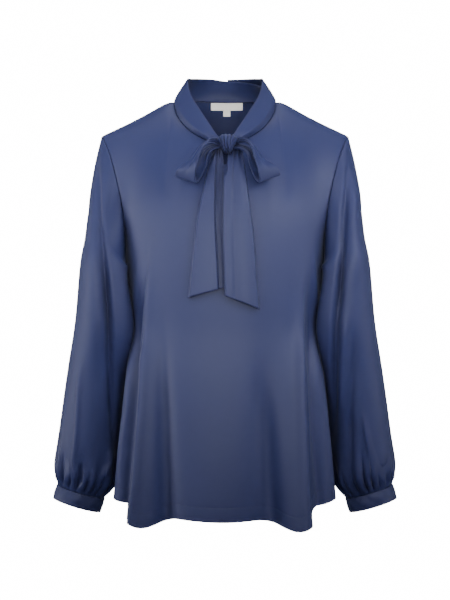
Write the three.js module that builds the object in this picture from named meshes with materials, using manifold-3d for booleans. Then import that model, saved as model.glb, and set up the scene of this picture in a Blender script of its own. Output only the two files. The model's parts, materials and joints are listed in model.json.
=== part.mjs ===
// A long-sleeved satin blouse with a tie neck, set-in sleeves gathered into narrow cuffs and a curved hem,
// standing hollow as it does when worn.
// Millimetres. +Z is up and the front faces -Y. The origin is midway between the two points where the
// shoulders meet the collar. The wearer's right is at -X.
import * as THREE from "three";
import { mergeVertices } from "three/addons/utils/BufferGeometryUtils.js";
import Module from "manifold-3d";

const wasm = await Module();
wasm.setup();

// Driving sizes
const CLOTH = 1.2; // wall of a single layer
const BAND = 2.2; // wall of the folded collar, tie and cuffs
const SEAM = 0.4; // gap between two pieces that are sewn together
const UNDERARM_Z = -250; // height of the underarm point
const HEM_SIDE_Z = -646; // height of the hem at the side seams
const HEM_DIP = { front: 30, back: 24 }; // how much lower the hem is at the centre
const NECK_SHARE = 0.4; // share of half a panel's top edge that is neckline, the rest being shoulder
const SHOULDER_END = { x: 203, y: -8, z: -60 }; // outer end of the forward shoulder seam
const LABEL = { x: 3, width: 54, top: 5.2, height: 12, wall: 0.8 };
const SIZE_TAB = { width: 12, height: 9.5 };
const BLUE = 0x4b5780;
const CREAM = 0xe6e2d8;
const RAD = Math.PI / 180;

// Sections of the body: half its width, the y of its side seams, and its depth to the front and back
const BODY_RINGS = [
  { z: -700, wide: 179, side: -26, front: 143, back: 124 },
  { z: -600, wide: 172.5, side: -26, front: 138, back: 117 },
  { z: -530, wide: 168, side: -26, front: 134, back: 111 },
  { z: -450, wide: 161, side: -24, front: 130, back: 105 },
  { z: -385, wide: 151.5, side: -10, front: 127, back: 102 },
  { z: -340, wide: 153.5, side: -6, front: 127.5, back: 103 },
  { z: -300, wide: 161, side: -4, front: 128, back: 105 },
  { z: -250, wide: 164, side: 0, front: 128, back: 107 },
];
const BODY_ROUND = 0.93; // below 1 the section is fuller than an ellipse

// Folds of the body: its angle from the front centre (+X side positive) at its start and at the hem,
// where it starts, how far it stands out (or in), and its reach in degrees on its -X and +X side
const BODY_FOLDS = [
  { start: -50, hem: -48.5, from: -235, out: 22, minus: 5, plus: 11 },
  { start: -54, hem: -64, from: -245, out: -8, minus: 7, plus: 5 },
  { start: -64, hem: -80, from: -245, out: 7, minus: 8, plus: 8 },
  { start: -40, hem: -30, from: -290, out: -9, minus: 6, plus: 7 },
  { start: -4, hem: -5, from: -380, out: 6, minus: 15, plus: 15 },
  { start: 27, hem: 20, from: -320, out: -8, minus: 8, plus: 7 },
  { start: 54, hem: 41, from: -235, out: 21, minus: 12, plus: 5 },
  { start: 60, hem: 58, from: -250, out: -8, minus: 6, plus: 8 },
  { start: 66, hem: 80, from: -245, out: 6, minus: 8, plus: 8 },
  { start: 116, hem: 122, from: -280, out: 11, minus: 9, plus: 8 },
  { start: 138, hem: 140, from: -260, out: -9, minus: 9, plus: 9 },
  { start: 157, hem: 159, from: -230, out: 15, minus: 9, plus: 10 },
  { start: 181, hem: 181, from: -330, out: -8, minus: 12, plus: 11 },
  { start: 203, hem: 204, from: -240, out: 14, minus: 10, plus: 8 },
  { start: 224, hem: 225, from: -290, out: -9, minus: 9, plus: 9 },
  { start: 245, hem: 242, from: -270, out: 11, minus: 8, plus: 9 },
];
// Where the hem drops lower under a fold: angle, drop and reach in degrees
const HEM_LOBES = [
  { angle: -42, drop: 21, reach: 10 },
  { angle: 35, drop: 23, reach: 10 },
  { angle: 158, drop: 6, reach: 12 },
  { angle: 204, drop: 6, reach: 12 },
];

// How a panel rises from the chest to its top edge, as the two control points of the curve up each
// column: the lower one as an offset from the curve's foot (y outwards), the upper one in place
const FRONT_RISE = [
  { s: 0, footX: 0, footY: 2, footZ: 55, x: 0, y: -121, z: -132 },
  { s: 0.2, footX: 0, footY: 3, footZ: 58, x: 50, y: -106, z: -108 },
  { s: 0.4, footX: 0, footY: 6, footZ: 60, x: 92, y: -72, z: -62 },
  { s: 0.7, footX: -2, footY: 22, footZ: 50, x: 137, y: -63, z: -68 },
  { s: 1, footX: -10, footY: 75, footZ: 15, x: 174, y: -64, z: -105 },
];
const BACK_RISE = [
  { s: 0, footX: 0, footY: 6, footZ: 80, x: 0, y: 99, z: -61 },
  { s: 0.2, footX: 0, footY: 8, footZ: 90, x: 46, y: 96, z: -38 },
  { s: 0.4, footX: 0, footY: 12, footZ: 100, x: 90, y: 64, z: -6 },
  { s: 0.7, footX: -2, footY: 36, footZ: 70, x: 139, y: 60, z: -22 },
  { s: 1, footX: -10, footY: 85, footZ: 12, x: 178, y: 75, z: -70 },
];

// The neck from the back centre round the +X side to the front centre: the neckline, the collar's upper
// edge above it, and how far the collar rolls out between them
const NECK = [
  { x: 0, y: 78, z: 6.5, edgeX: 0, edgeY: 71, edgeZ: 44, roll: 2.5 },
  { x: 28, y: 75, z: 6.3, edgeX: 22, edgeY: 67, edgeZ: 44, roll: 2.5 },
  { x: 54, y: 63, z: 5.5, edgeX: 43, edgeY: 54, edgeZ: 43, roll: 2.5 },
  { x: 75, y: 39, z: 3.5, edgeX: 57, edgeY: 33, edgeZ: 40, roll: 2.5 },
  { x: 83.5, y: 8, z: 0, edgeX: 62.5, edgeY: 4, edgeZ: 35, roll: 3 },
  { x: 84, y: -10, z: -5, edgeX: 60.5, edgeY: -13, edgeZ: 21, roll: 4 },
  { x: 79.5, y: -28, z: -26, edgeX: 54, edgeY: -31, edgeZ: 1, roll: 5 },
  { x: 67, y: -50, z: -47, edgeX: 41, edgeY: -55, edgeZ: -22, roll: 6 },
  { x: 50, y: -70, z: -63, edgeX: 27, edgeY: -80, edgeZ: -46, roll: 6 },
  { x: 30, y: -86, z: -75, edgeX: 15, edgeY: -102, edgeZ: -66, roll: 4 },
];
const NECK_POINT = 5; // the row of NECK where front, back and collar meet
const FRONT_CENTRE = { x: 0, y: -100, z: -84 };
const TIE_ROOT = { x: 12, y: -110, z: -87, edgeX: 7, edgeY: -113, edgeZ: -77, roll: 0 }; // in the knot
// The wearer's right collar runs on inside the left one at the back: rows of NECK on the far side, how
// far inside they lie and how much lower their upper edge is
const LAP = [
  { row: 4, inside: 3.4, lower: 12 },
  { row: 3, inside: 3.4, lower: 11 },
  { row: 2, inside: 3.4, lower: 8 },
  { row: 1, inside: 3.4, lower: 5 },
  { row: 0, inside: 3.2, lower: 3 },
];
const LAP_END_X = 5; // where the outer collar starts, beside the back centre

// Sections of a sleeve, for the side at +X: centre, half width, half depth, how much its outer side is
// raised in degrees, and how far its front inner corner wraps the body
const SLEEVE_RINGS = [
  { x: 195, y: -6, z: -216, wide: 50, deep: 62, tilt: 57, hug: 22 },
  { x: 197.5, y: -12, z: -248, wide: 37.5, deep: 63, tilt: 33, hug: 20 },
  { x: 200.5, y: -16, z: -275, wide: 37.5, deep: 63, tilt: 18, hug: 16 },
  { x: 201.5, y: -18, z: -370, wide: 44.5, deep: 60, tilt: 6, hug: 19.5 },
  { x: 211, y: -4, z: -450, wide: 48, deep: 57, tilt: 5, hug: 6 },
  { x: 220, y: -3, z: -530, wide: 50.5, deep: 55, tilt: 5, hug: 0 },
  { x: 226, y: -3, z: -590, wide: 51.5, deep: 53, tilt: 6, hug: 0 },
  { x: 229, y: -5, z: -620, wide: 49.5, deep: 48, tilt: 11, hug: 0 },
];
const CUFF_TOP = { x: 236.7, y: -7, z: -643.9, wide: 40.7, deep: 34, tilt: 17, hug: 0 };
const CUFF_FOOT = { x: 243.6, y: -7.5, z: -666.6, wide: 41, deep: 34.5, tilt: 17, hug: 0 };
const FRONT_OF_ARMHOLE = 0.66; // how far up the armhole from the underarm the sleeve's front is sewn

// Folds along a sleeve: angle from its outer side, through its front, at the first and the last height,
// and how far it stands out or in with its reach in degrees on either side
const SLEEVE_FOLDS = {
  right: [
    { start: 66, end: 134, from: -110, to: -560, out: -12, before: 9, after: 6 },
    { start: 52, end: 100, from: -150, to: -520, out: 5, before: 14, after: 9 },
    { start: 60, end: 66, from: -340, to: -610, out: 4, before: 7, after: 5 },
    { start: 20, end: 30, from: -200, to: -480, out: -4, before: 12, after: 12 },
    { start: 225, end: 215, from: -150, to: -560, out: -8, before: 10, after: 10 },
    { start: 290, end: 262, from: -120, to: -580, out: -9, before: 9, after: 12 },
    { start: 320, end: 310, from: -250, to: -600, out: 5, before: 10, after: 10 },
  ],
  left: [
    { start: 82, end: 128, from: -100, to: -560, out: -11, before: 12, after: 7 },
    { start: 96, end: 146, from: -170, to: -500, out: 5, before: 8, after: 8 },
    { start: 44, end: 86, from: -100, to: -500, out: 5, before: 9, after: 14 },
    { start: 74, end: 100, from: -260, to: -600, out: -5, before: 6, after: 5 },
    { start: 60, end: 72, from: -450, to: -630, out: -4, before: 5, after: 6 },
    { start: 232, end: 218, from: -140, to: -570, out: -8, before: 10, after: 10 },
    { start: 285, end: 270, from: -120, to: -560, out: -9, before: 12, after: 9 },
  ],
};
const HEAD = 5; // how far the sleeve swells out below the shoulder
const GATHERS = { count: 20, root: 0.4, depth: 3, rise: 14, fade: 60 }; // at each cuff

// The knot: a gathered band that wraps round an axis along X
const KNOT = {
  x: 4, y: -121, z: -85.5, wide: 17.5, deep: 14, high: 16,
  pleats: 6, groove: 1.1, narrow: 0.32, square: 3.2,
};

// The bow's loops, from the front of the knot, round the drooping end and back to the knot: the edge
// round the open mouth and the far edge
const LOOP_RIGHT = [
  { x: -6, y: -124, z: -86, farX: -6, farY: -120, farZ: -79 },
  { x: -21, y: -132, z: -83, farX: -22, farY: -125, farZ: -77 },
  { x: -36, y: -143, z: -91, farX: -38, farY: -127, farZ: -87.5 },
  { x: -43, y: -149, z: -110, farX: -56, farY: -128, farZ: -109 },
  { x: -47, y: -147, z: -134, farX: -73, farY: -128, farZ: -126 },
  { x: -45.5, y: -139, z: -148, farX: -78.5, farY: -121, farZ: -137 },
  { x: -39, y: -131, z: -142, farX: -70, farY: -115, farZ: -131 },
  { x: -29, y: -129, z: -120, farX: -50, farY: -113, farZ: -112 },
  { x: -24, y: -125, z: -100, farX: -34, farY: -114, farZ: -93 },
  { x: -6, y: -120, z: -91, farX: -6, farY: -116, farZ: -85 },
];
const LOOP_LEFT = [
  { x: 12, y: -124, z: -86, farX: 12, farY: -120, farZ: -79 },
  { x: 29, y: -132, z: -82, farX: 30, farY: -125, farZ: -76 },
  { x: 41, y: -143, z: -91, farX: 45, farY: -127, farZ: -86 },
  { x: 47, y: -149, z: -109, farX: 60, farY: -128, farZ: -106 },
  { x: 53, y: -147, z: -132, farX: 79, farY: -127, farZ: -121 },
  { x: 54, y: -139, z: -147, farX: 87, farY: -120, farZ: -135 },
  { x: 47, y: -131, z: -141, farX: 78, farY: -113, farZ: -130 },
  { x: 38, y: -129, z: -119, farX: 58, farY: -112, farZ: -111 },
  { x: 33, y: -125, z: -99, farX: 43, farY: -114, farZ: -92 },
  { x: 12, y: -120, z: -91, farX: 12, farY: -116, farZ: -85 },
];

// The tie's hanging ends, down the front: both edges and how far the cloth stands off the front panel
const TAIL_RIGHT = [
  { z: -94, endZ: -94, x: -12, farX: -1, lift: 13 },
  { z: -119, endZ: -119, x: -24, farX: 0, lift: 5 },
  { z: -159, endZ: -158, x: -34.5, farX: 1, lift: 1.4 },
  { z: -206, endZ: -203, x: -45, farX: 1, lift: 0.8 },
  { z: -262, endZ: -255, x: -51, farX: 1.5, lift: 0.8 },
  { z: -326.5, endZ: -310, x: -58, farX: 0.5, lift: 0.8 },
];
const TAIL_LEFT = [
  { z: -92, endZ: -92, x: 4, farX: 21, lift: 15 },
  { z: -121, endZ: -121, x: 0, farX: 28, lift: 9 },
  { z: -161, endZ: -161, x: -3, farX: 35, lift: 5 },
  { z: -224, endZ: -228, x: -4.5, farX: 44, lift: 4 },
  { z: -278, endZ: -290, x: -3, farX: 49, lift: 4 },
  { z: -322.5, endZ: -344, x: -1, farX: 53, lift: 4 },
];

// How far the ends arch away from the chest, and the crease along each
const TAIL_FORM = {
  right: { arch: 3.5, crease: 0.8, deep: 2.5, reach: 0.12 },
  left: { arch: 3.5, crease: 0.42, deep: 1.5, reach: 0.12 },
};

const { clamp, lerp, smoothstep } = THREE.MathUtils;
const vec = (x, y, z) => new THREE.Vector3(x, y, z);
const steps = (count) => Array.from({ length: count + 1 }, (_, i) => i / count);

// The row of a table at a place between its rows, on a smooth curve through them. Rows rise in rows[i][key].
function between(rows, key, at) {
  const last = rows.length - 1;
  let i = 0;
  while (i < last - 1 && rows[i + 1][key] < at) i += 1;
  const [a, b] = [rows[i], rows[i + 1]];
  const [before, after] = [rows[Math.max(i - 1, 0)], rows[Math.min(i + 2, last)]];
  const span = b[key] - a[key];
  const t = clamp((at - a[key]) / span, 0, 1);
  const row = {};
  for (const name of Object.keys(a)) {
    const leave = ((b[name] - before[name]) / (b[key] - before[key])) * span;
    const arrive = ((after[name] - a[name]) / (after[key] - a[key])) * span;
    const [t2, t3] = [t * t, t * t * t];
    row[name] =
      (2 * t3 - 3 * t2 + 1) * a[name] +
      (t3 - 2 * t2 + t) * leave +
      (3 * t2 - 2 * t3) * b[name] +
      (t3 - t2) * arrive;
  }
  return row;
}

// A smooth curve through points
const through = (points) => new THREE.CatmullRomCurve3(points, false, "centripetal");

// A closed mesh from a list of points and a list of triangles
function meshOf(points, triangles) {
  const geometry = new THREE.BufferGeometry();
  const numbers = points.flatMap((p) => [p.x, p.y, p.z]);
  geometry.setAttribute("position", new THREE.Float32BufferAttribute(numbers, 3));
  geometry.setIndex(triangles.flat());
  return geometry;
}

// Outward normals on a grid of points, grid[row][column], where columns turn against the clock seen from
// outside and rows go up, or the reverse of both
function normalsOf(grid, round) {
  const rows = grid.length;
  const columns = grid[0].length;
  return grid.map((line, r) =>
    line.map((_, c) => {
      const before = round ? (c + columns - 1) % columns : Math.max(c - 1, 0);
      const after = round ? (c + 1) % columns : Math.min(c + 1, columns - 1);
      const along = line[after].clone().sub(line[before]);
      const up = grid[Math.min(r + 1, rows - 1)][c].clone().sub(grid[Math.max(r - 1, 0)][c]);
      return along.cross(up).normalize();
    }),
  );
}

// A wall of even thickness whose outer face is a grid of points. A round one closes on itself. The way
// that its last row's rim faces can be given, where it meets another wall.
function wall(grid, thick, round = false, lastNormals = []) {
  const rows = grid.length;
  const columns = grid[0].length;
  const normals = normalsOf(grid, round);
  lastNormals.forEach((normal, c) => normal && normals[rows - 1][c].copy(normal));
  const outer = grid.flat();
  const inner = outer.map((p, i) => p.clone().addScaledVector(normals.flat()[i], -thick));
  const points = [...outer, ...inner];
  const at = (r, c, layer) => layer * rows * columns + r * columns + (c % columns);
  const triangles = [];
  const quad = (a, b, c, d) => triangles.push([a, b, c], [a, c, d]);
  const spans = round ? columns : columns - 1;
  for (let r = 0; r < rows - 1; r += 1) {
    for (let c = 0; c < spans; c += 1) {
      quad(at(r, c, 0), at(r, c + 1, 0), at(r + 1, c + 1, 0), at(r + 1, c, 0));
      quad(at(r, c, 1), at(r + 1, c, 1), at(r + 1, c + 1, 1), at(r, c + 1, 1));
    }
    if (!round) {
      quad(at(r, 0, 0), at(r + 1, 0, 0), at(r + 1, 0, 1), at(r, 0, 1));
      quad(at(r, spans, 0), at(r, spans, 1), at(r + 1, spans, 1), at(r + 1, spans, 0));
    }
  }
  for (let c = 0; c < spans; c += 1) {
    quad(at(0, c, 0), at(0, c, 1), at(0, c + 1, 1), at(0, c + 1, 0));
    quad(at(rows - 1, c, 0), at(rows - 1, c + 1, 0), at(rows - 1, c + 1, 1), at(rows - 1, c, 1));
  }
  return meshOf(points, triangles);
}

// A solid through closed rings of points, with its two ends drawn to their middles
function bulb(grid) {
  const columns = grid[0].length;
  const middle = (line) => line.reduce((sum, p) => sum.add(p), vec(0, 0, 0)).divideScalar(columns);
  const points = [...grid.flat(), middle(grid[0]), middle(grid[grid.length - 1])];
  const [first, last] = [points.length - 2, points.length - 1];
  const at = (r, c) => r * columns + (c % columns);
  const triangles = [];
  for (let c = 0; c < columns; c += 1) {
    for (let r = 0; r < grid.length - 1; r += 1) {
      triangles.push([at(r, c), at(r, c + 1), at(r + 1, c + 1)]);
      triangles.push([at(r, c), at(r + 1, c + 1), at(r + 1, c)]);
    }
    const end = grid.length - 1;
    triangles.push([first, at(0, c + 1), at(0, c)], [last, at(end, c), at(end, c + 1)]);
  }
  return meshOf(points, triangles);
}

// A smooth ridge or trough across a distance, with its own reach on either side
const ridge = (distance, before, after) => Math.exp(-((distance / (distance < 0 ? before : after)) ** 2));

const turned = (degrees) => ((((degrees + 180) % 360) + 360) % 360) - 180;

// Height of the hem at an angle round the body
function hemZ(angle) {
  const off = Math.abs(turned(angle));
  const dip = off < 90 ? HEM_DIP.front : HEM_DIP.back;
  const aside = off < 90 ? off / 90 : (180 - off) / 90;
  const lobes = HEM_LOBES.reduce((sum, { angle: middle, drop, reach }) => {
    return sum + drop * ridge(turned(angle - middle), reach, reach);
  }, 0);
  return HEM_SIDE_Z - dip * (1 - aside ** 1.5) - lobes;
}

// How far the body's cloth stands out of its plain section
function bodyFold(angle, z) {
  return BODY_FOLDS.reduce((sum, fold) => {
    const down = clamp((fold.from - z) / (fold.from - HEM_SIDE_Z), 0, 1.1);
    const middle = lerp(fold.start, fold.hem, down);
    return sum + fold.out * down ** 1.25 * ridge(turned(angle - middle), fold.minus, fold.plus);
  }, 0);
}

// A point of the body's plain section, at an angle from the front centre
function ringPoint(angle, z) {
  const ring = between(BODY_RINGS, "z", z);
  const [sin, cos] = [Math.sin(angle * RAD), Math.cos(angle * RAD)];
  const deep = cos > 0 ? -ring.front - ring.side : ring.back - ring.side;
  return vec(
    ring.wide * Math.sign(sin) * Math.abs(sin) ** BODY_ROUND,
    ring.side + deep * Math.abs(cos) ** BODY_ROUND,
    z,
  );
}

const seamPoint = (row) => vec(row.x, row.y, row.z);
const NECKLINES = {
  front: through([seamPoint(FRONT_CENTRE), ...NECK.slice(NECK_POINT).reverse().map(seamPoint)]),
  back: through(NECK.slice(0, NECK_POINT + 1).map(seamPoint)),
};

// Top edge of half a panel, from its centre (s = 0) along the neckline and the shoulder (s = 1)
function topEdge(panel, s) {
  if (s < NECK_SHARE) return NECKLINES[panel].getPointAt(s / NECK_SHARE);
  const corner = seamPoint(NECK[NECK_POINT]);
  const edge = corner.lerp(seamPoint(SHOULDER_END), (s - NECK_SHARE) / (1 - NECK_SHARE));
  edge.y += (panel === "front" ? -SEAM : SEAM) / 2;
  return edge;
}

// A point of the front or back panel: s from -1 to 1 across it, v from 0 at the hem to 1 at its top edge
const UNDERARM_V = 0.56;
function panelPoint(panel, s, v) {
  const back = panel === "back";
  const half = Math.abs(s);
  const out = back ? 1 : -1;
  const angle = back ? 180 - 90 * s : 90 * s;
  const p = vec(0, 0, 0);
  if (v <= UNDERARM_V) {
    p.copy(ringPoint(angle, lerp(hemZ(angle), UNDERARM_Z, v / UNDERARM_V)));
  } else {
    const t = (v - UNDERARM_V) / (1 - UNDERARM_V);
    const rise = between(back ? BACK_RISE : FRONT_RISE, "s", half);
    const foot = ringPoint(back ? 180 - 90 * half : 90 * half, UNDERARM_Z);
    const top = topEdge(panel, half);
    const lower = foot.clone().add(vec(rise.footX, out * rise.footY, rise.footZ));
    const upper = seamPoint(rise);
    p.copy(new THREE.CubicBezierCurve3(foot, lower, upper, top).getPoint(t));
    p.x *= Math.sign(s) || 1;
  }
  const fold = bodyFold(angle, p.z);
  return p.add(vec(Math.sin(angle * RAD) * fold, -Math.cos(angle * RAD) * fold, 0));
}

// Which way a panel faces, outwards
function panelNormal(panel, s, v) {
  const step = 1e-3;
  const p = panelPoint(panel, s, v);
  const across = panelPoint(panel, s + step, v).sub(p);
  const up = panelPoint(panel, s, v + step).sub(p);
  return across.cross(up).normalize().multiplyScalar(panel === "back" ? -1 : 1);
}

// Half way between the ways that front and back face at their shoulder seam
const shoulderNormal = (s) => panelNormal("front", s, 0.99).add(panelNormal("back", s, 0.99)).normalize();

// Columns across a panel: closer at the shoulders, with one at each neck point
function panelColumns(neck, shoulder) {
  const half = [
    ...steps(neck).map((k) => k * NECK_SHARE),
    ...steps(shoulder).slice(1).map((k) => NECK_SHARE + k * (1 - NECK_SHARE)),
  ];
  return [...half.slice(1).reverse().map((s) => -s), ...half];
}

const SIDE_GAP = 0.0009; // share of a panel left open at each side seam, about a seam's gap
const LOWER_ROWS = 8;
const UPPER_ROWS = 9;
const PANEL_ROWS = [
  ...steps(LOWER_ROWS).map((k) => k * UNDERARM_V),
  ...steps(UPPER_ROWS).slice(1).map((k) => UNDERARM_V + k * (1 - UNDERARM_V)),
];
function panelMesh(panel, { neck, shoulder }) {
  const columns = panelColumns(neck, shoulder);
  if (panel === "back") columns.reverse();
  const grid = PANEL_ROWS.map((v) => columns.map((s) => panelPoint(panel, s * (1 - SIDE_GAP), v)));
  const shoulderNormals = columns.map((s) => (Math.abs(s) < NECK_SHARE ? null : shoulderNormal(s)));
  return wall(grid, CLOTH, false, shoulderNormals);
}

// The point of a panel that lies at a given x and z, moved off it
function onPanel(panel, x, z, off) {
  let [s, v] = [x / 190, UNDERARM_V * (1 + (z - UNDERARM_Z) / 300)];
  const step = 1e-3;
  for (let round = 0; round < 12; round += 1) {
    const p = panelPoint(panel, s, v);
    const ds = panelPoint(panel, s + step, v).sub(p).divideScalar(step);
    const dv = panelPoint(panel, s, v + step).sub(p).divideScalar(step);
    const area = ds.x * dv.z - ds.z * dv.x;
    s += ((x - p.x) * dv.z - (z - p.z) * dv.x) / area;
    v = clamp(v + ((z - p.z) * ds.x - (x - p.x) * ds.z) / area, 0, 0.998);
  }
  return panelPoint(panel, s, v).addScaledVector(panelNormal(panel, s, v), off);
}

// The collar and the part of the tie that runs into the knot, on one side (-1 the wearer's right)
function collarMesh(side) {
  const own = (row) => ({ ...row, x: row.x * side, edgeX: row.edgeX * side });
  const lapped = LAP.map(({ row, inside, lower }) => {
    const { x, y, z, edgeX, edgeY, edgeZ, roll } = NECK[row];
    const pull = 1 - inside / Math.hypot(x, y);
    const edge = { edgeX: -side * edgeX * pull, edgeY: edgeY * pull, edgeZ: edgeZ - lower };
    return { x: -side * x * pull, y: y * pull, z, ...edge, roll };
  });
  const start = { ...NECK[0], x: LAP_END_X, edgeX: LAP_END_X };
  const rows = side < 0 ? [...lapped, ...NECK.slice(1).map(own)] : [start, ...NECK.slice(1).map(own)];
  rows.push(own(TIE_ROOT));
  const seam = through(rows.map(seamPoint));
  const edge = through(rows.map((row) => vec(row.edgeX, row.edgeY, row.edgeZ)));
  const marked = rows.map((row, i) => ({ ...row, i }));
  const columns = steps(2 * (rows.length - 1));
  const lines = steps(4).map((k) =>
    columns.map((t) => {
      const [low, high] = [seam.getPoint(t), edge.getPoint(t)];
      const rise = high.clone().sub(low);
      const out = vec(low.x, low.y, 0).normalize();
      const roll = between(marked, "i", t * (rows.length - 1)).roll * Math.sin(Math.PI * k ** 0.7);
      const up = lerp((1.2 * SEAM) / rise.length(), 1, k);
      return low.clone().addScaledVector(rise, up).addScaledVector(out, roll);
    }),
  );
  if (side > 0) lines.forEach((line) => line.reverse());
  return wall(lines, BAND);
}

// One section of a sleeve at an angle from its outer side, through its front
function sleeveRing(ring, angle) {
  const [sin, cos] = [Math.sin(angle * RAD), Math.cos(angle * RAD)];
  const reach = ring.wide * cos - ring.hug * ridge(turned(angle - 138), 34, 24);
  return vec(
    ring.x + reach * Math.cos(ring.tilt * RAD),
    ring.y - ring.deep * sin,
    ring.z + reach * Math.sin(ring.tilt * RAD),
  );
}

// The armhole at the same angle, from the shoulder seam round the front to the underarm and up the back
function armhole(angle) {
  const front = angle <= 180;
  const down = (front ? angle : 360 - angle) / 180;
  const power = Math.log(1 - FRONT_OF_ARMHOLE) / Math.log(0.5);
  const panel = front ? "front" : "back";
  const row = UPPER_ROWS * (1 - down ** power);
  const [below, above] = [Math.floor(row), Math.min(Math.floor(row) + 1, UPPER_ROWS)];
  const corner = (r) => panelPoint(panel, 1, UNDERARM_V + (r / UPPER_ROWS) * (1 - UNDERARM_V));
  return corner(below).lerp(corner(above), row - below);
}

// How far a sleeve's cloth stands out of its section, from its long folds and from the gathers at its cuff
function sleeveFold(folds, angle, z, above) {
  const long = folds.reduce((sum, fold) => {
    const down = (fold.from - z) / (fold.from - fold.to);
    if (down < 0 || down > 1) return sum;
    const middle = lerp(fold.start, fold.end, down);
    const swell = Math.sin(Math.PI * down ** 0.8) ** 0.8;
    return sum + fold.out * swell * ridge(turned(angle - middle), fold.before, fold.after);
  }, 0);
  const { count, root, depth, rise, fade } = GATHERS;
  const uneven = 1 + 0.35 * Math.sin(3 * angle * RAD + 1) + 0.25 * Math.sin(5 * angle * RAD);
  const reach = fade * uneven;
  const strength = smoothstep(above, 0, rise) * (1 - smoothstep(above, rise, Math.max(reach, rise + 10)));
  return long + lerp(root, depth * uneven, strength) * Math.cos(count * angle * RAD) * (above < reach ? 1 : 0);
}

const SLEEVE_COLUMNS = 60;
const SLEEVE_STEPS = [0, 0.45, 0.9, 1.5, 2.2, 3, 3.6, 4.3, 5.1, 6, 6.8, 7.35, 7.7, 8]; // heights, in ring spans
function sleeveMesh(side) {
  const folds = side < 0 ? SLEEVE_FOLDS.right : SLEEVE_FOLDS.left;
  const last = { ...CUFF_TOP, wide: CUFF_TOP.wide - 0.6, deep: CUFF_TOP.deep - 0.6 };
  last.z += 1.6 * SEAM;
  const columns = steps(SLEEVE_COLUMNS).slice(0, -1).map((turn) => {
    const angle = 360 * turn;
    const rings = [...SLEEVE_RINGS, last].map((ring) => sleeveRing(ring, angle));
    const start = armhole(angle);
    const away = rings[0].clone().sub(start).normalize();
    away.x += 0.6;
    start.addScaledVector(away, 1.8 * SEAM);
    return { angle, line: through([start, ...rings]) };
  });
  const spans = SLEEVE_RINGS.length;
  const marked = SLEEVE_RINGS.map((ring, i) => ({ ...ring, i: i + 1 }));
  const cap = 1.2; // ring spans over which folds and the sleeve's own fullness set in
  const grid = SLEEVE_STEPS.map((k) =>
    columns.map(({ angle, line }) => {
      const p = line.getPoint(k / spans);
      const above = line.getPoint(1).distanceTo(p);
      const head = HEAD * Math.sin(Math.PI * clamp(k, 0, 1)) * Math.max(Math.cos(angle * RAD), 0);
      const fold = sleeveFold(folds, angle, p.z, above) * smoothstep(k, 0, cap) + head;
      const lean = between(marked, "i", clamp(k, 1, spans)).tilt * RAD;
      const [sin, cos] = [Math.sin(angle * RAD), Math.cos(angle * RAD)];
      return p.add(vec(cos * Math.cos(lean), -sin, cos * Math.sin(lean)).multiplyScalar(fold));
    }),
  );
  return wall(onSide(grid, side), CLOTH, true);
}

// A grid made for the +X side, mirrored where it is for the other
function onSide(grid, side) {
  if (side > 0) return grid;
  return grid.map((line) => line.map((p) => vec(-p.x, p.y, p.z)).reverse());
}

function cuffMesh(side) {
  const columns = 40;
  const crown = 0.7;
  const grid = steps(2).map((k) =>
    steps(columns).slice(0, -1).map((turn) => {
      const wide = CUFF_TOP.wide + crown * Math.sin(Math.PI * k);
      const top = sleeveRing({ ...CUFF_TOP, wide }, 360 * turn);
      return top.lerp(sleeveRing(CUFF_FOOT, 360 * turn), k);
    }),
  );
  return wall(onSide(grid, side), BAND, true);
}

// The knot, or the space that it needs if it is grown
function knotMesh(grow = 0) {
  const { pleats, groove, narrow, square } = KNOT;
  const grid = steps(18).map((k) =>
    steps(20).slice(0, -1).map((turn) => {
      const [sin, cos] = [Math.sin(360 * turn * RAD), Math.cos(360 * turn * RAD)];
      const across = 2 * k - 1;
      const round = Math.sqrt(Math.max(1 - Math.abs(across) ** square, 0.04));
      const pleat = groove * (Math.cos(2 * Math.PI * pleats * k) - 1);
      const wide = (KNOT.wide + grow) * (1 - narrow * smoothstep(-sin, 0, 1));
      return vec(
        KNOT.x + wide * across,
        KNOT.y - (KNOT.deep * round + pleat + grow) * cos,
        KNOT.z + (KNOT.high * round + pleat + grow) * sin,
      );
    }),
  );
  return bulb(grid.reverse());
}

// A band of tie cloth between two edges, bowed out between them
function bandGrid(rows, across, along, bow) {
  const near = through(rows.map(seamPoint));
  const far = through(rows.map((row) => vec(row.farX, row.farY, row.farZ)));
  return steps(across).map((q) =>
    steps(along).map((t) => {
      const p = near.getPoint(t).lerp(far.getPoint(t), q);
      const middle = through([near.getPoint(0.5), far.getPoint(0.5)]).getPoint(q);
      return p.lerp(middle, -bow * Math.sin(Math.PI * q) * Math.sin(Math.PI * t));
    }),
  );
}

function loopMesh(rows, side) {
  const grid = bandGrid(rows, 4, 27, 0.05);
  if (side < 0) grid.reverse();
  return wall(grid, BAND);
}

function tailMesh(rows, { arch, crease, deep, reach }) {
  const marked = rows.map((row, i) => ({ ...row, i }));
  const grid = steps(14).map((t) => {
    const row = between(marked, "i", t * (rows.length - 1));
    return steps(8).map((q) => {
      const form = arch * Math.sin(Math.PI * q) - deep * ridge(q - crease, reach, reach);
      const off = row.lift + BAND + form * smoothstep(t, 0, 0.3);
      return onPanel("front", lerp(row.x, row.farX, q), lerp(row.z, row.endZ, q), off);
    });
  });
  return wall(grid.reverse(), BAND);
}

// A woven label sewn at the back neck seam, lying on the inside of the back
function labelMesh({ x, width, top, height }) {
  const inside = -CLOTH - 1;
  const grid = [top - height, top].map((z) => {
    return steps(8).map((k) => onPanel("back", x + width * (0.5 - k), z, inside));
  });
  return wall(grid, LABEL.wall);
}

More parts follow.
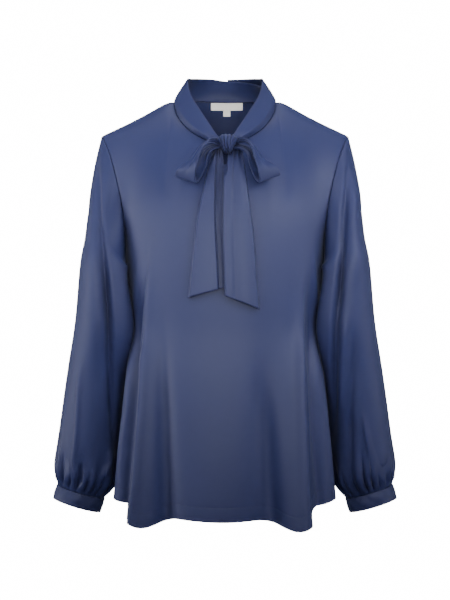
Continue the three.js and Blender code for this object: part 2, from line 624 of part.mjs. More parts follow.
// A mesh's geometry less the space that another needs, without the scraps that this leaves
function cutBy(geometry, space) {
  const solid = (g) => {
    const merged = mergeVertices(g, 1e-4);
    const vertProperties = merged.attributes.position.array;
    const triVerts = new Uint32Array(merged.index.array);
    return new wasm.Manifold(new wasm.Mesh({ numProp: 3, vertProperties, triVerts }));
  };
  const parts = solid(geometry).subtract(solid(space)).decompose();
  const main = parts.reduce((best, part) => (part.volume() > best.volume() ? part : best));
  const { vertProperties, triVerts } = main.getMesh();
  const cut = new THREE.BufferGeometry();
  cut.setAttribute("position", new THREE.BufferAttribute(vertProperties, 3));
  cut.setIndex(new THREE.BufferAttribute(triVerts, 1));
  return cut;
}

const satin = new THREE.MeshStandardMaterial({ name: "satin", color: BLUE, roughness: 0.5, metalness: 0 });
const woven = new THREE.MeshStandardMaterial({ name: "label", color: CREAM, roughness: 0.8, metalness: 0 });
const blouse = new THREE.Group();
function piece(name, geometry, material = satin) {
  const mesh = new THREE.Mesh(geometry, material);
  mesh.name = name;
  blouse.add(mesh);
}

const knotSpace = knotMesh(SEAM);
piece("front", panelMesh("front", { neck: 7, shoulder: 11 }));
piece("back", panelMesh("back", { neck: 6, shoulder: 9 }));
for (const [name, side] of [["right", -1], ["left", 1]]) {
  piece(`sleeve_${name}`, sleeveMesh(side));
  piece(`cuff_${name}`, cuffMesh(side));
  piece(`collar_${name}`, cutBy(collarMesh(side), knotSpace));
}
piece("bow_knot", knotMesh());
piece("bow_loop_right", cutBy(loopMesh(LOOP_RIGHT, -1), knotSpace));
piece("bow_loop_left", cutBy(loopMesh(LOOP_LEFT, 1), knotSpace));
piece("tie_end_right", cutBy(tailMesh(TAIL_RIGHT, TAIL_FORM.right), knotSpace));
piece("tie_end_left", cutBy(tailMesh(TAIL_LEFT, TAIL_FORM.left), knotSpace));
piece("label", labelMesh(LABEL), woven);
piece("size_tab", labelMesh({ ...SIZE_TAB, x: LABEL.x, top: LABEL.top - LABEL.height - SEAM }), woven);

export default blouse;
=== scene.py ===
"""A long-sleeved satin blouse with a tie neck, hollow as it is when worn.

The shape follows the same sections, folds and edges as the solids that it covers, in millimetres, with
+Z up, the front towards -Y and the wearer's right at -X. The pieces are finer than the solids and carry
the creases, gathers, pleats, hem and stitches.
"""
import json
import math

import bpy
import numpy as np
from bpy.props import FloatProperty, FloatVectorProperty, PointerProperty
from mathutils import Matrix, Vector
from mathutils.bvhtree import BVHTree

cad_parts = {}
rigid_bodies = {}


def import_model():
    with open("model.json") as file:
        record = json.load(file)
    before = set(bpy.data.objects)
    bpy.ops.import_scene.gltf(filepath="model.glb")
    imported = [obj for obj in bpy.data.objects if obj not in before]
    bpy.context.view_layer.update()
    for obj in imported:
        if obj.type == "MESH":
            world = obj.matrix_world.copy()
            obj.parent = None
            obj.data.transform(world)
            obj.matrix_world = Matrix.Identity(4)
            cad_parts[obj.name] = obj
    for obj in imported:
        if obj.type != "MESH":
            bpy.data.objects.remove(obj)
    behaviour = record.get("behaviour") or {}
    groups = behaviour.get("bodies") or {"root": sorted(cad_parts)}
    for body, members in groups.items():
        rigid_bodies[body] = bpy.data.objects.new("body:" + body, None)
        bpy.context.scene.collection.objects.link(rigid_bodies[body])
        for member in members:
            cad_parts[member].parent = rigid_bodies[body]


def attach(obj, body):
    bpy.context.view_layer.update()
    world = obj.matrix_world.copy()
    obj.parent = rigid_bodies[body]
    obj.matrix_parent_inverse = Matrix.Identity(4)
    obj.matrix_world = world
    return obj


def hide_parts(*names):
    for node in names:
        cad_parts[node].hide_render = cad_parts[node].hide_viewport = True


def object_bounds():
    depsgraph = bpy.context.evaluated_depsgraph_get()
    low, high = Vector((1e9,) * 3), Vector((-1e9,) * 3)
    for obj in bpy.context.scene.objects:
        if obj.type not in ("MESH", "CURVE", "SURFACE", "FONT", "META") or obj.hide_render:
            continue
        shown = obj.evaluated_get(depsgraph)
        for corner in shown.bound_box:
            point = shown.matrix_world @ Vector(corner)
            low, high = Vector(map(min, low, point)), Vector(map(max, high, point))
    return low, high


bl_info = {
    "name": "Tie-neck blouse",
    "version": (1, 0, 0),
    "blender": (4, 5, 0),
    "location": "View3D > Sidebar > Blouse",
    "description": "Dresses the blouse's solids in satin, with its folds, gathers, bow and stitches",
    "category": "Object",
}

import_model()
CAD_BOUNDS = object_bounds()

MM = 0.001
PHOTO_DISTANCE = 2450.0  # from the camera to the blouse's middle
PHOTO_HEIGHT = -330.0  # height that the camera looks level at
PHOTO_TALL = 990.0  # height of the view at the blouse's middle
SENSOR = 36.0  # larger side of the camera's film


# Sizes


def table(columns, *rows):
    """Rows of sizes as one array for each named column."""
    return {name: np.array([row[i] for row in rows], float) for i, name in enumerate(columns.split())}


SEAM = 0.4  # gap between two pieces that are sewn together
SIDE_GAP = 0.0009  # share of half a panel's width that each side seam leaves open
UNDERARM_Z = -250.0
UNDERARM_V = 0.56  # share of a panel's height that is below the underarm
HEM_SIDE_Z = -646.0
HEM_DIP = {"front": 30.0, "back": 24.0}  # how much lower the hem is at its middle than at its sides
NECK_SHARE = 0.4  # share of half a panel's top edge that is neckline, the rest being shoulder
SHOULDER_END = (203.0, -8.0, -60.0)
NECK_RISE = 4.5  # how far a shoulder seam curves up beside the neck
NECK_CURVE = 0.12  # share of its length at which it is highest
NECK_OUT = 1.4  # how far the back's neckline stands out behind the collar
NECK_UP = 1.3  # how far it reaches up over the collar's seam
BODY_ROUND = 0.93  # how round the body's sections are, where 1 is an ellipse and less is boxier

# Sides of a panel's cloth, flat: half its width, and its height
HALF_PANEL = 165.0
PANEL_HIGH = 420.0

# Dips along sewn edges, how far they reach, and the hem: how far its doubled cloth stands out, the groove
# and the pucker along its stitches, and how far those reach
SIDE_DIP, SHOULDER_DIP, DIP_REACH = 0.8, 0.7, 2.6
HEM_STEP, HEM_GROOVE, HEM_PUCKER = 0.12, 0.2, 0.1
GROOVE_REACH, PUCKER_REACH = 1.3, 6.0

# Sections of the body: half its width, the y of its side seams, and its depth to the front and back
BODY_RINGS = table(
    "z wide side front back",
    (-700, 179, -26, 143, 124),
    (-600, 172.5, -26, 138, 117),
    (-530, 168, -26, 134, 111),
    (-450, 161, -24, 130, 105),
    (-385, 151.5, -10, 127, 102),
    (-340, 153.5, -6, 127.5, 103),
    (-300, 161, -4, 128, 105),
    (-250, 164, 0, 128, 107),
)

# Folds of the body: angle from the front centre at their start and at the hem, the height where they
# start, how far they stand out, and their reach in degrees on either side
BODY_FOLDS = table(
    "start hem top out minus plus",
    (-50, -48.5, -235, 22, 5, 11),
    (-54, -64, -245, -8, 7, 5),
    (-64, -80, -245, 7, 8, 8),
    (-40, -30, -290, -9, 6, 7),
    (-4, -5, -380, 6, 15, 15),
    (27, 20, -320, -8, 8, 7),
    (54, 41, -235, 21, 12, 5),
    (60, 58, -250, -8, 6, 8),
    (66, 80, -245, 6, 8, 8),
    (116, 122, -280, 11, 9, 8),
    (138, 140, -260, -9, 9, 9),
    (157, 159, -230, 15, 9, 10),
    (181, 181, -330, -8, 12, 11),
    (203, 204, -240, 14, 10, 8),
    (224, 225, -290, -9, 9, 9),
    (245, 242, -270, 11, 8, 9),
)

# Lobes of the hem: how much lower they hang, and their reach in degrees
HEM_LOBES = table("angle drop reach", (-42, 21, 10), (35, 23, 10), (158, 6, 12), (204, 6, 12))

# How a panel rises from the chest to its top edge, column by column
FRONT_RISE = table(
    "s foot_x foot_y foot_z x y z",
    (0, 0, 2, 55, 0, -121, -132),
    (0.2, 0, 3, 58, 50, -106, -108),
    (0.4, 0, 6, 60, 92, -72, -62),
    (0.7, -2, 22, 50, 137, -63, -68),
    (1, -10, 75, 15, 174, -64, -105),
)
BACK_RISE = table(
    "s foot_x foot_y foot_z x y z",
    (0, 0, 6, 80, 0, 99, -61),
    (0.2, 0, 8, 90, 46, 96, -38),
    (0.4, 0, 12, 100, 90, 64, -6),
    (0.7, -2, 36, 70, 139, 60, -22),
    (1, -10, 85, 12, 178, 75, -70),
)

# The neck from the back centre round the +X side to the front centre: the neckline, the collar's upper
# edge, and how far the collar rolls out between them
NECK = table(
    "x y z edge_x edge_y edge_z roll",
    (0, 78, 6.5, 0, 71, 44, 2.5),
    (28, 75, 6.3, 22, 67, 44, 2.5),
    (54, 63, 5.5, 43, 54, 43, 2.5),
    (75, 39, 3.5, 57, 33, 40, 2.5),
    (83.5, 8, 0, 62.5, 4, 35, 2),
    (84, -10, -5, 60.5, -13, 21, 2.2),
    (79.5, -28, -26, 54, -31, 1, 3),
    (67, -50, -47, 41, -55, -22, 4),
    (50, -70, -63, 27, -80, -46, 4),
    (30, -86, -75, 15, -102, -66, 3),
)
NECK_POINT = 5  # row at which the shoulder seam meets the collar
FRONT_CENTRE = (0.0, -100.0, -84.0)
TIE_ROOT = (12.0, -110.0, -87.0, 7.0, -113.0, -77.0, 0.0)  # the neck's columns where a collar meets the knot

# The collar's lap inside the back: rows of the neck, how far inside them it lies, and how much lower its
# upper edge is
LAP = table("row inside lower", (4, 3.4, 12), (3, 3.4, 11), (2, 3.4, 8), (1, 3.4, 5), (0, 3.2, 3))
LAP_END_X = 5.0  # where the outer band of the collar ends, behind the lap
LAP_LOW = 2.0  # how far the lap reaches below the seam

# Sections of a sleeve and a cuff: middle, half sizes, slant in degrees, and how far they hug the body
SLEEVE_RINGS = table(
    "x y z wide deep tilt hug",
    (195, -6, -216, 50, 62, 57, 22),
    (197.5, -12, -248, 37.5, 63, 33, 20),
    (200.5, -16, -275, 37.5, 63, 18, 16),
    (201.5, -16.5, -370, 44.5, 60, 6, 19.5),
    (211, -9, -450, 48, 57, 5, 11),
    (220, -5, -530, 50.5, 55, 5, 0),
    (226, -3, -590, 51.5, 53, 6, 0),
    (229, -5, -620, 49.5, 48, 11, 0),
)
CUFF_RINGS = table(
    "x y z wide deep tilt hug",
    (236.7, -7, -643.9, 40.7, 34, 17, 0),
    (243.6, -7.5, -666.6, 41, 34.5, 17, 0),
)
HUG = (138.0, 34.0, 24.0)  # where a sleeve hugs the body, as an angle and its reach on either side
FRONT_OF_ARMHOLE = 0.66  # how far up the armhole from the underarm the sleeve's front is sewn
SLEEVE_HEAD = 5.0  # how far the head of a sleeve swells
UNDERARM_LAP = 4.5  # how far a sleeve swells over the body below the underarm

# Gathers at a cuff: number, height at the cuff, height at their fullest, and the distances above the cuff
# at which they are fullest and gone
GATHERS = {"count": 20, "root": 0.4, "depth": 3.2, "rise": 14.0, "fade": 62.0}

# Long folds on the hidden side of a sleeve: angle from its outer side at the first and last height
SLEEVE_FOLDS = {
    "right": table(
        "start end top low out before after",
        (225, 215, -150, -560, -8, 10, 10),
        (290, 262, -120, -580, -9, 9, 12),
        (320, 310, -250, -600, 5, 10, 10),
    ),
    "left": table(
        "start end top low out before after",
        (232, 218, -140, -570, -8, 10, 10),
        (285, 270, -120, -560, -9, 12, 9),
    ),
}

# The knot: its middle, its half sizes, its pleats and the depth of the grooves between them
KNOT = {
    "x": 4.0, "y": -121.0, "z": -85.5,
    "wide": 17.5, "deep": 14.0, "high": 16.0,
    "pleats": 6, "groove": 3.4,
}
KNOT_NARROW = 0.5  # share of its width that it loses towards its foot
KNOT_SQUARE = 3.2  # how full its sides are, where 2 is round
KNOT_FLAT = 0.72  # how round it is from front to top, where 1 is round and less is boxier

# The loops of the bow, as one band from the knot round and back: its near and far edges
LOOPS = {
    "right": table(
        "x y z far_x far_y far_z",
        (-6, -124, -86, -6, -120, -79),
        (-21, -132, -83, -22, -125, -77),
        (-36, -143, -91, -38, -127, -87.5),
        (-43, -149, -110, -56, -128, -109),
        (-47, -147, -134, -75, -129, -127),
        (-45.5, -139, -148, -77.5, -122, -137),
        (-39, -131, -142, -70, -115, -133),
        (-29, -129, -120, -50, -113, -112),
        (-24, -125, -100, -34, -114, -93),
        (-6, -120, -91, -6, -116, -85),
    ),
    "left": table(
        "x y z far_x far_y far_z",
        (12, -124, -86, 12, -120, -79),
        (29, -132, -82, 30, -125, -76),
        (41, -143, -91, 45, -127, -86),
        (47, -149, -109, 60, -128, -106),
        (53, -147, -132, 82, -128, -122),
        (54, -139, -147, 86, -121, -134),
        (47, -131, -141, 78, -113, -131),
        (38, -129, -119, 58, -112, -111),
        (33, -125, -99, 43, -114, -92),
        (12, -120, -91, 12, -116, -85),
    ),
}

# The hanging ends of the tie: heights and places of their two edges, and how far they lie off the front
TAILS = {
    "right": table(
        "z end_z x far_x lift",
        (-94, -94, -12, -1, 13),
        (-119, -119, -24, 0, 5),
        (-159, -158, -34.5, 1, 1.4),
        (-206, -203, -45, 1, 0.8),
        (-262, -255, -51, 1.5, 0.8),
        (-326.5, -310, -58, 0.5, 0.8),
    ),
    "left": table(
        "z end_z x far_x lift",
        (-92, -92, 4, 21, 15),
        (-121, -121, 0, 28, 9),
        (-161, -161, -3, 35, 5),
        (-224, -228, -4.5, 44, 4),
        (-278, -290, -3, 49, 4),
        (-322.5, -344, -1, 53, 4),
    ),
}
TAIL_SINKS = 0.4  # how far a hollow of a hanging end sinks towards the front

# The label and its size tab: the middle and width, the height of the top edge, and how high it is
RIBBONS = {"label": (3, 54, 5.2, 12), "size_tab": (3, 12, -7.2, 9.5)}

# Creases that are pressed into a piece: the side that they are seen from, how far they stand out, their
# reach on the -X and +X side of a line that runs down, and that line, as places across and up
CREASES = {
    "front": [
        (
            "front", 7, 3.5, 9,
            (
                (-120, -215), (-126, -300), (-131, -363), (-141, -520), (-150, -630), (-158, -690),
                (-175, -860),
            ),
        ),
        ("front", -6, 6, 6, ((-130, -250), (-139, -363), (-151, -520), (-160, -620), (-172, -800))),
        ("front", 3, 5, 5, ((-138.6, -225), (-150, -338), (-163, -515), (-171.6, -577), (-180, -700))),
        ("front", -6, 13, 10, ((-104, -330), (-101, -420), (-99, -528), (-97, -690), (-95, -900))),
        ("front", -7, 14, 13, ((57, -400), (65, -520), (73, -640), (80, -720), (90, -900))),
        (
            "front", 6, 10, 4,
            ((133, -242), (127, -310), (125.4, -380), (130, -520), (135.3, -643), (139, -703), (146, -900)),
        ),
        ("front", -6, 5, 8, ((138, -270), (142, -420), (148, -560), (154, -640), (162, -800))),
        ("front", 3, 3.5, 3.5, ((145, -232), (149, -305), (153, -363), (153.5, -422))),
        ("front", 0.9, 9, 9, ((-71, -82), (-78, -231))),
        ("front", 0.9, 9, 9, ((71, -82), (78, -231))),
        ("front", -0.9, 8, 8, ((-107, -66), (-101, -165))),
        ("front", -0.9, 8, 8, ((107, -66), (101, -173))),
    ],
    "back": [
        ("back", -2.4, 10, 12, ((60, -60), (66, -200), (72, -330))),
        ("back", -2.4, 12, 10, ((-58, -60), (-66, -210), (-70, -340))),
        ("back", 2.4, 12, 9, ((110, -90), (118, -190), (128, -260))),
        ("back", 2.4, 9, 12, ((-110, -90), (-120, -200), (-130, -270))),
        ("back", 3.0, 12, 14, ((6, -330), (4, -480), (2, -680))),
        ("back", -6, 12, 9, ((92, -330), (97, -480), (101, -640), (105, -860))),
        ("back", -6, 9, 13, ((-86, -350), (-92, -500), (-99, -650), (-104, -860))),
        ("back", 5, 7, 5, ((128, -300), (133, -450), (142, -620), (152, -860))),
        ("back", 5, 5, 8, ((-124, -280), (-131, -440), (-140, -620), (-150, -860))),
    ],
    "sleeve_right": [
        ("front", -6, 8, 5, ((-212, -70), (-207, -181), (-201, -243), (-193, -350), (-189, -450))),
        ("front", -8, 7, 5, ((-200, -225), (-191, -363), (-190, -422), (-184, -515), (-181, -600))),
        ("front", 3, 13, 12, ((-222, -120), (-219.5, -297), (-217, -470))),
        (
            "front", 3, 3.5, 5,
            ((-239, -420), (-244.5, -528), (-246.5, -558), (-250, -587), (-253, -613), (-260, -640)),
        ),
        ("front", 3, 5, 5, ((-187, -570), (-189, -600), (-204, -632))),
        ("front", -3, 3, 3, ((-238, -595), (-239, -642))),
    ],
    "sleeve_left": [
        ("front", -6, 5, 8, ((208, -70), (196, -193), (190, -290), (184, -400))),
        ("front", -8, 5, 7, ((193, -200), (188, -290), (182, -363), (177, -590))),
        ("front", 3, 12, 13, ((216, -110), (216, -320))),
        ("front", 4, 7, 7, ((199, -340), (188, -530))),
        ("front", -3.5, 6, 6, ((213, -350), (203, -580))),
        ("front", -4, 6, 6, ((207, -510), (206, -610))),
        ("front", 3, 3, 6, ((226, -510), (230, -538), (236, -577), (238, -610), (247, -650))),
    ],
}


# Studio lights: degrees round from the front and up, distance, the place they aim at, their width and
# height, the spread of their light in degrees, and their power in watts
LAMPS = (
    ("front light", 0, 0, 2.0, (0, -0.1, -0.2), (1.0, 0.5), 30, 0.6),
    ("wide front light", 0, 10, 1.9, (0, -0.1, -0.3), (1.4, 0.8), 90, 1.7),
    ("high front light", 0, 45, 1.7, (0, -0.1, -0.2), (1.0, 0.5), 40, 0.2),
    ("front left light", -45, 20, 1.6, (-0.15, 0, -0.2), (0.6, 0.6), 45, 0.4),
    ("front right light", 45, 20, 1.6, (0.15, 0, -0.2), (0.6, 0.6), 45, 0.8),
    ("left light", -80, 0, 1.6, (-0.2, 0, -0.3), (0.4, 1.0), 60, 1.65),
    ("right light", 80, 0, 1.6, (0.2, 0, -0.3), (0.4, 1.0), 60, 0.6),
    ("top light", 0, 85, 1.5, (0, 0, -0.1), (1.0, 1.0), 100, 3.0),
    ("back light", 180, 15, 1.9, (0, 0.1, -0.3), (1.4, 0.8), 80, 1.5),
)


# Shape


def smooth_step(x, low, high):
    t = np.clip((x - low) / (high - low), 0, 1)
    return t * t * (3 - 2 * t)


def unit(v):
    return v / np.maximum(np.linalg.norm(v, axis=-1, keepdims=True), 1e-9)


def ridge(distance, before, after=None):
    """A smooth ridge across a distance, with its own reach on either side where two are given."""
    reach = before if after is None else np.where(distance < 0, before, after)
    return np.exp(-((distance / reach) ** 2))


def plateau(x, start, full, still, end):
    """1 from one place to another, dying away smoothly on either side."""
    return smooth_step(x, start, full) * (1 - smooth_step(x, still, end))


def turned(degrees):
    return (degrees + 180) % 360 - 180


def between(rows, key, at):
    """The row of a table at places between its rows, on a smooth curve through them."""
    keys = rows[key]
    last = len(keys) - 1
    at = np.asarray(at, float)
    i = np.clip(np.searchsorted(keys, at) - 1, 0, last - 1)
    before, after = np.maximum(i - 1, 0), np.minimum(i + 2, last)
    span = keys[i + 1] - keys[i]
    t = np.clip((at - keys[i]) / span, 0, 1)
    found = {}
    for name, column in rows.items():
        leave = (column[i + 1] - column[before]) / (keys[i + 1] - keys[before]) * span
        arrive = (column[after] - column[i]) / (keys[after] - keys[i]) * span
        found[name] = (
            (2 * t**3 - 3 * t**2 + 1) * column[i]
            + (t**3 - 2 * t**2 + t) * leave
            + (3 * t**2 - 2 * t**3) * column[i + 1]
            + (t**3 - t**2) * arrive
        )
    return found


def through(points, t):
    """Points at t from 0 to 1 along a smooth curve through points, or along one such curve a column."""
    points = np.asarray(points, float)
    t = np.asarray(t, float)
    last = len(points) - 1
    first = 2 * points[:1] - points[1:2]
    final = 2 * points[-1:] - points[-2:-1]
    p = np.concatenate([first, points, final])
    place = np.clip(t, 0, 1) * last
    i = np.minimum(np.floor(place).astype(int), last - 1)
    w = (place - i).reshape(t.shape + (1,) * (points.ndim - 1))
    p0, p1, p2, p3 = p[i], p[i + 1], p[i + 2], p[i + 3]
    gap = lambda a, b: np.sqrt(np.linalg.norm(b - a, axis=-1, keepdims=True))
    d1 = np.maximum(gap(p1, p2), 1e-4)
    d0, d2 = np.maximum(gap(p0, p1), 1e-4), np.maximum(gap(p2, p3), 1e-4)
    leave = ((p1 - p0) / d0 - (p2 - p0) / (d0 + d1) + (p2 - p1) / d1) * d1
    arrive = ((p2 - p1) / d1 - (p3 - p1) / (d1 + d2) + (p3 - p2) / d2) * d1
    c2 = -3 * p1 + 3 * p2 - 2 * leave - arrive
    c3 = 2 * p1 - 2 * p2 + leave + arrive
    return p1 + leave * w + c2 * w**2 + c3 * w**3


def evenly_through(points, t):
    """As through, but with t as a share of the curve's length."""
    fine = np.linspace(0, 1, 400)
    line = through(points, fine)
    length = np.concatenate([[0], np.cumsum(np.linalg.norm(np.diff(line, axis=0), axis=1))])
    return through(points, np.interp(np.asarray(t) * length[-1], length, fine))


def hem_z(angle):
    """Height of the hem's edge at an angle from the front centre."""
    off = np.abs(turned(angle))
    dip = np.where(off < 90, HEM_DIP["front"], HEM_DIP["back"])
    aside = np.where(off < 90, off / 90, (180 - off) / 90)
    lobes = 0
    for middle, drop, reach in zip(*HEM_LOBES.values()):
        lobes = lobes + drop * ridge(turned(angle - middle), reach)
    return HEM_SIDE_Z - dip * (1 - aside**1.5) - lobes


def body_fold(angle, z):
    """How far the body's cloth stands out of its plain section."""
    total = np.zeros_like(z)
    for start, hem, top, out, minus, plus in zip(*BODY_FOLDS.values()):
        down = np.clip((top - z) / (top - HEM_SIDE_Z), 0, 1.1)
        middle = start + (hem - start) * down
        total += out * down**1.25 * ridge(turned(angle - middle), minus, plus)
    return total


def ring_point(angle, z):
    """Points of the body's plain section at a height."""
    ring = between(BODY_RINGS, "z", z)
    sin, cos = np.sin(np.radians(angle)), np.cos(np.radians(angle))
    deep = np.where(cos > 0, -ring["front"] - ring["side"], ring["back"] - ring["side"])
    x = ring["wide"] * np.sign(sin) * np.abs(sin) ** BODY_ROUND
    y = ring["side"] + deep * np.abs(cos) ** BODY_ROUND
    return np.stack([x, y, z + 0 * x], axis=-1)


def panel_angle(panel, s):
    """Angles from the front centre at places across a panel, where s runs from -1 to 1."""
    return 180 - 90 * s if panel == "back" else 90 * s


def columns_of(rows, names):
    return np.stack([rows[name] for name in names.split()], axis=-1)


def row_of(rows, i):
    return {name: column[i] for name, column in rows.items()}


NECK_POINTS = columns_of(NECK, "x y z")
NECKLINES = {
    "front": np.concatenate([[FRONT_CENTRE], NECK_POINTS[: NECK_POINT - 1 : -1]]),
    "back": NECK_POINTS[: NECK_POINT + 1],
}


def top_edge(panel, s):
    """The top edge of half a panel, from its centre along the neckline and the shoulder."""
    neckline = evenly_through(NECKLINES[panel], np.clip(s / NECK_SHARE, 0, 1))
    behind = smooth_step(neckline[..., 1:2], -5, 20)
    neckline = neckline + unit(neckline * [1, 1, 0]) * NECK_OUT * behind + [0, 0, NECK_UP] * behind**4
    share = ((s - NECK_SHARE) / (1 - NECK_SHARE))[..., None]
    shoulder = NECK_POINTS[NECK_POINT] * (1 - share) + np.array(SHOULDER_END) * share
    shoulder[..., 1] += (-SEAM if panel == "front" else SEAM) / 2
    near_neck = np.clip(share[..., 0], 0, 1) / NECK_CURVE
    shoulder[..., 2] += NECK_RISE * near_neck * np.exp(1 - near_neck)
    return np.where((s < NECK_SHARE)[..., None], neckline, shoulder)


def panel_point(panel, s, v):
    """Points of the front or back before its folds: s from -1 to 1 across, v from hem to top edge."""
    back = panel == "back"
    half = np.abs(s)
    angle = panel_angle(panel, s)
    low = ring_point(angle, hem_z(angle) + (UNDERARM_Z - hem_z(angle)) * np.minimum(v / UNDERARM_V, 1))
    t = np.clip((v - UNDERARM_V) / (1 - UNDERARM_V), 0, 1)[..., None]
    rise = between(BACK_RISE if back else FRONT_RISE, "s", half)
    foot = ring_point(panel_angle(panel, half), UNDERARM_Z + 0 * half)
    lift = columns_of(rise, "foot_x foot_y foot_z") * [1, 1 if back else -1, 1]
    upper = columns_of(rise, "x y z")
    high = (
        (1 - t) ** 3 * foot
        + 3 * (1 - t) ** 2 * t * (foot + lift)
        + 3 * (1 - t) * t**2 * upper
        + t**3 * top_edge(panel, half)
    )
    high[..., 0] *= np.where(s < 0, -1, 1)
    return np.where((v <= UNDERARM_V)[..., None], low, high)


def facing(grid, round_=False):
    """Outward normals on a grid of points."""
    if round_:
        along = np.roll(grid, -1, axis=1) - np.roll(grid, 1, axis=1)
    else:
        padded = np.concatenate([grid[:, :1], grid, grid[:, -1:]], axis=1)
        along = padded[:, 2:] - padded[:, :-2]
    padded = np.concatenate([grid[:1], grid, grid[-1:]])
    return unit(np.cross(along, padded[2:] - padded[:-2]))


def soften(grid, times, weight):
    """Evens out a grid's inner points, as far as the weight at each says."""
    grid = grid.copy()
    weight = weight[1:-1, 1:-1, None] * 0.5
    for _ in range(times):
        around = (grid[:-2, 1:-1] + grid[2:, 1:-1] + grid[1:-1, :-2] + grid[1:-1, 2:]) / 4
        grid[1:-1, 1:-1] += weight * (around - grid[1:-1, 1:-1])
    return grid


def seen(points):
    """Where points show from the front, across and up, as on a plane through the blouse's middle."""
    near = PHOTO_DISTANCE / (PHOTO_DISTANCE + points[..., 1])
    return np.stack([points[..., 0] * near, PHOTO_HEIGHT + (points[..., 2] - PHOTO_HEIGHT) * near], axis=-1)


# How points and normals show from each side: the place across and up, and how far towards the look
VIEWS = {
    "front": (seen, lambda n: -n[..., 1]),
    "back": (lambda p: p[..., [0, 2]], lambda n: n[..., 1]),
}


def off_line(places, line):
    """Distances from a line, less than 0 on the -X side if it runs down, and the shares along it."""
    line = np.asarray(line, float)
    lengths = np.linalg.norm(np.diff(line, axis=0), axis=1)
    starts = np.concatenate([[0], np.cumsum(lengths)])
    best = np.full(places.shape[:-1], 1e9)
    signed = np.zeros_like(best)
    along = np.zeros_like(best)
    for a, b, length, start in zip(line[:-1], line[1:], lengths, starts):
        way = (b - a) / length
        step = places - a
        t = np.clip(step @ way, 0, length)
        miss = step - t[..., None] * way
        distance = np.linalg.norm(miss, axis=-1)
        side = np.sign(step[..., 1] * way[0] - step[..., 0] * way[1])
        nearer = distance < best
        best = np.where(nearer, distance, best)
        signed = np.where(nearer, distance * np.where(side == 0, 1, side), signed)
        along = np.where(nearer, (start + t) / starts[-1], along)
    return signed, along


FADE = 0.3  # share of a crease's line over which each of its ends dies away


def creased(grid, creases, round_=False):
    """A grid with its creases pressed in or drawn out."""
    normals = facing(grid, round_)
    out = np.zeros(grid.shape[:2])
    for view, height, before, after, line in creases:
        flatten, towards = VIEWS[view]
        signed, along = off_line(flatten(grid), line)
        shows = smooth_step(towards(normals), 0.0, 0.3)
        fade = smooth_step(along, 0, FADE) * smooth_step(1 - along, 0, FADE)
        out += height * ridge(signed, before, after) * fade * shows
    return grid + normals * out[..., None]


# Meshes


SMALLEST_SIDE = 0.0101  # of a sheet's flat size, in metres
RIM = 0.12  # how round a rim is, as a share of its thickness


def cut_of(grid, round_=False):
    """The width, length and area that a piece of cloth has when it is laid flat, in metres."""
    if round_:
        grid = np.concatenate([grid, grid[:, :1]], axis=1)
    across, up = np.diff(grid, axis=1), np.diff(grid, axis=0)
    width = np.linalg.norm(across, axis=-1).sum(axis=1).max()
    length = np.linalg.norm(up, axis=-1).sum(axis=0).max()
    one = np.linalg.norm(np.cross(across[:-1], up[:, :-1]), axis=-1).sum()
    two = np.linalg.norm(np.cross(across[1:], up[:, 1:]), axis=-1).sum()
    area = (one + two) / 2
    return width * MM, length * MM, area * MM * MM


def cloth_places(grid):
    """Each point's place on the flat cloth, across and up, in metres."""
    across = np.linalg.norm(np.diff(grid, axis=1), axis=-1).mean(axis=0)
    up = np.linalg.norm(np.diff(grid, axis=0), axis=-1).mean(axis=1)
    u = np.concatenate([[0], np.cumsum(across)]) * MM
    v = np.concatenate([[0], np.cumsum(up)]) * MM
    return np.stack(np.meshgrid(u, v), axis=-1)


def centre(grid):
    return grid.reshape(-1, 3).mean(axis=0)


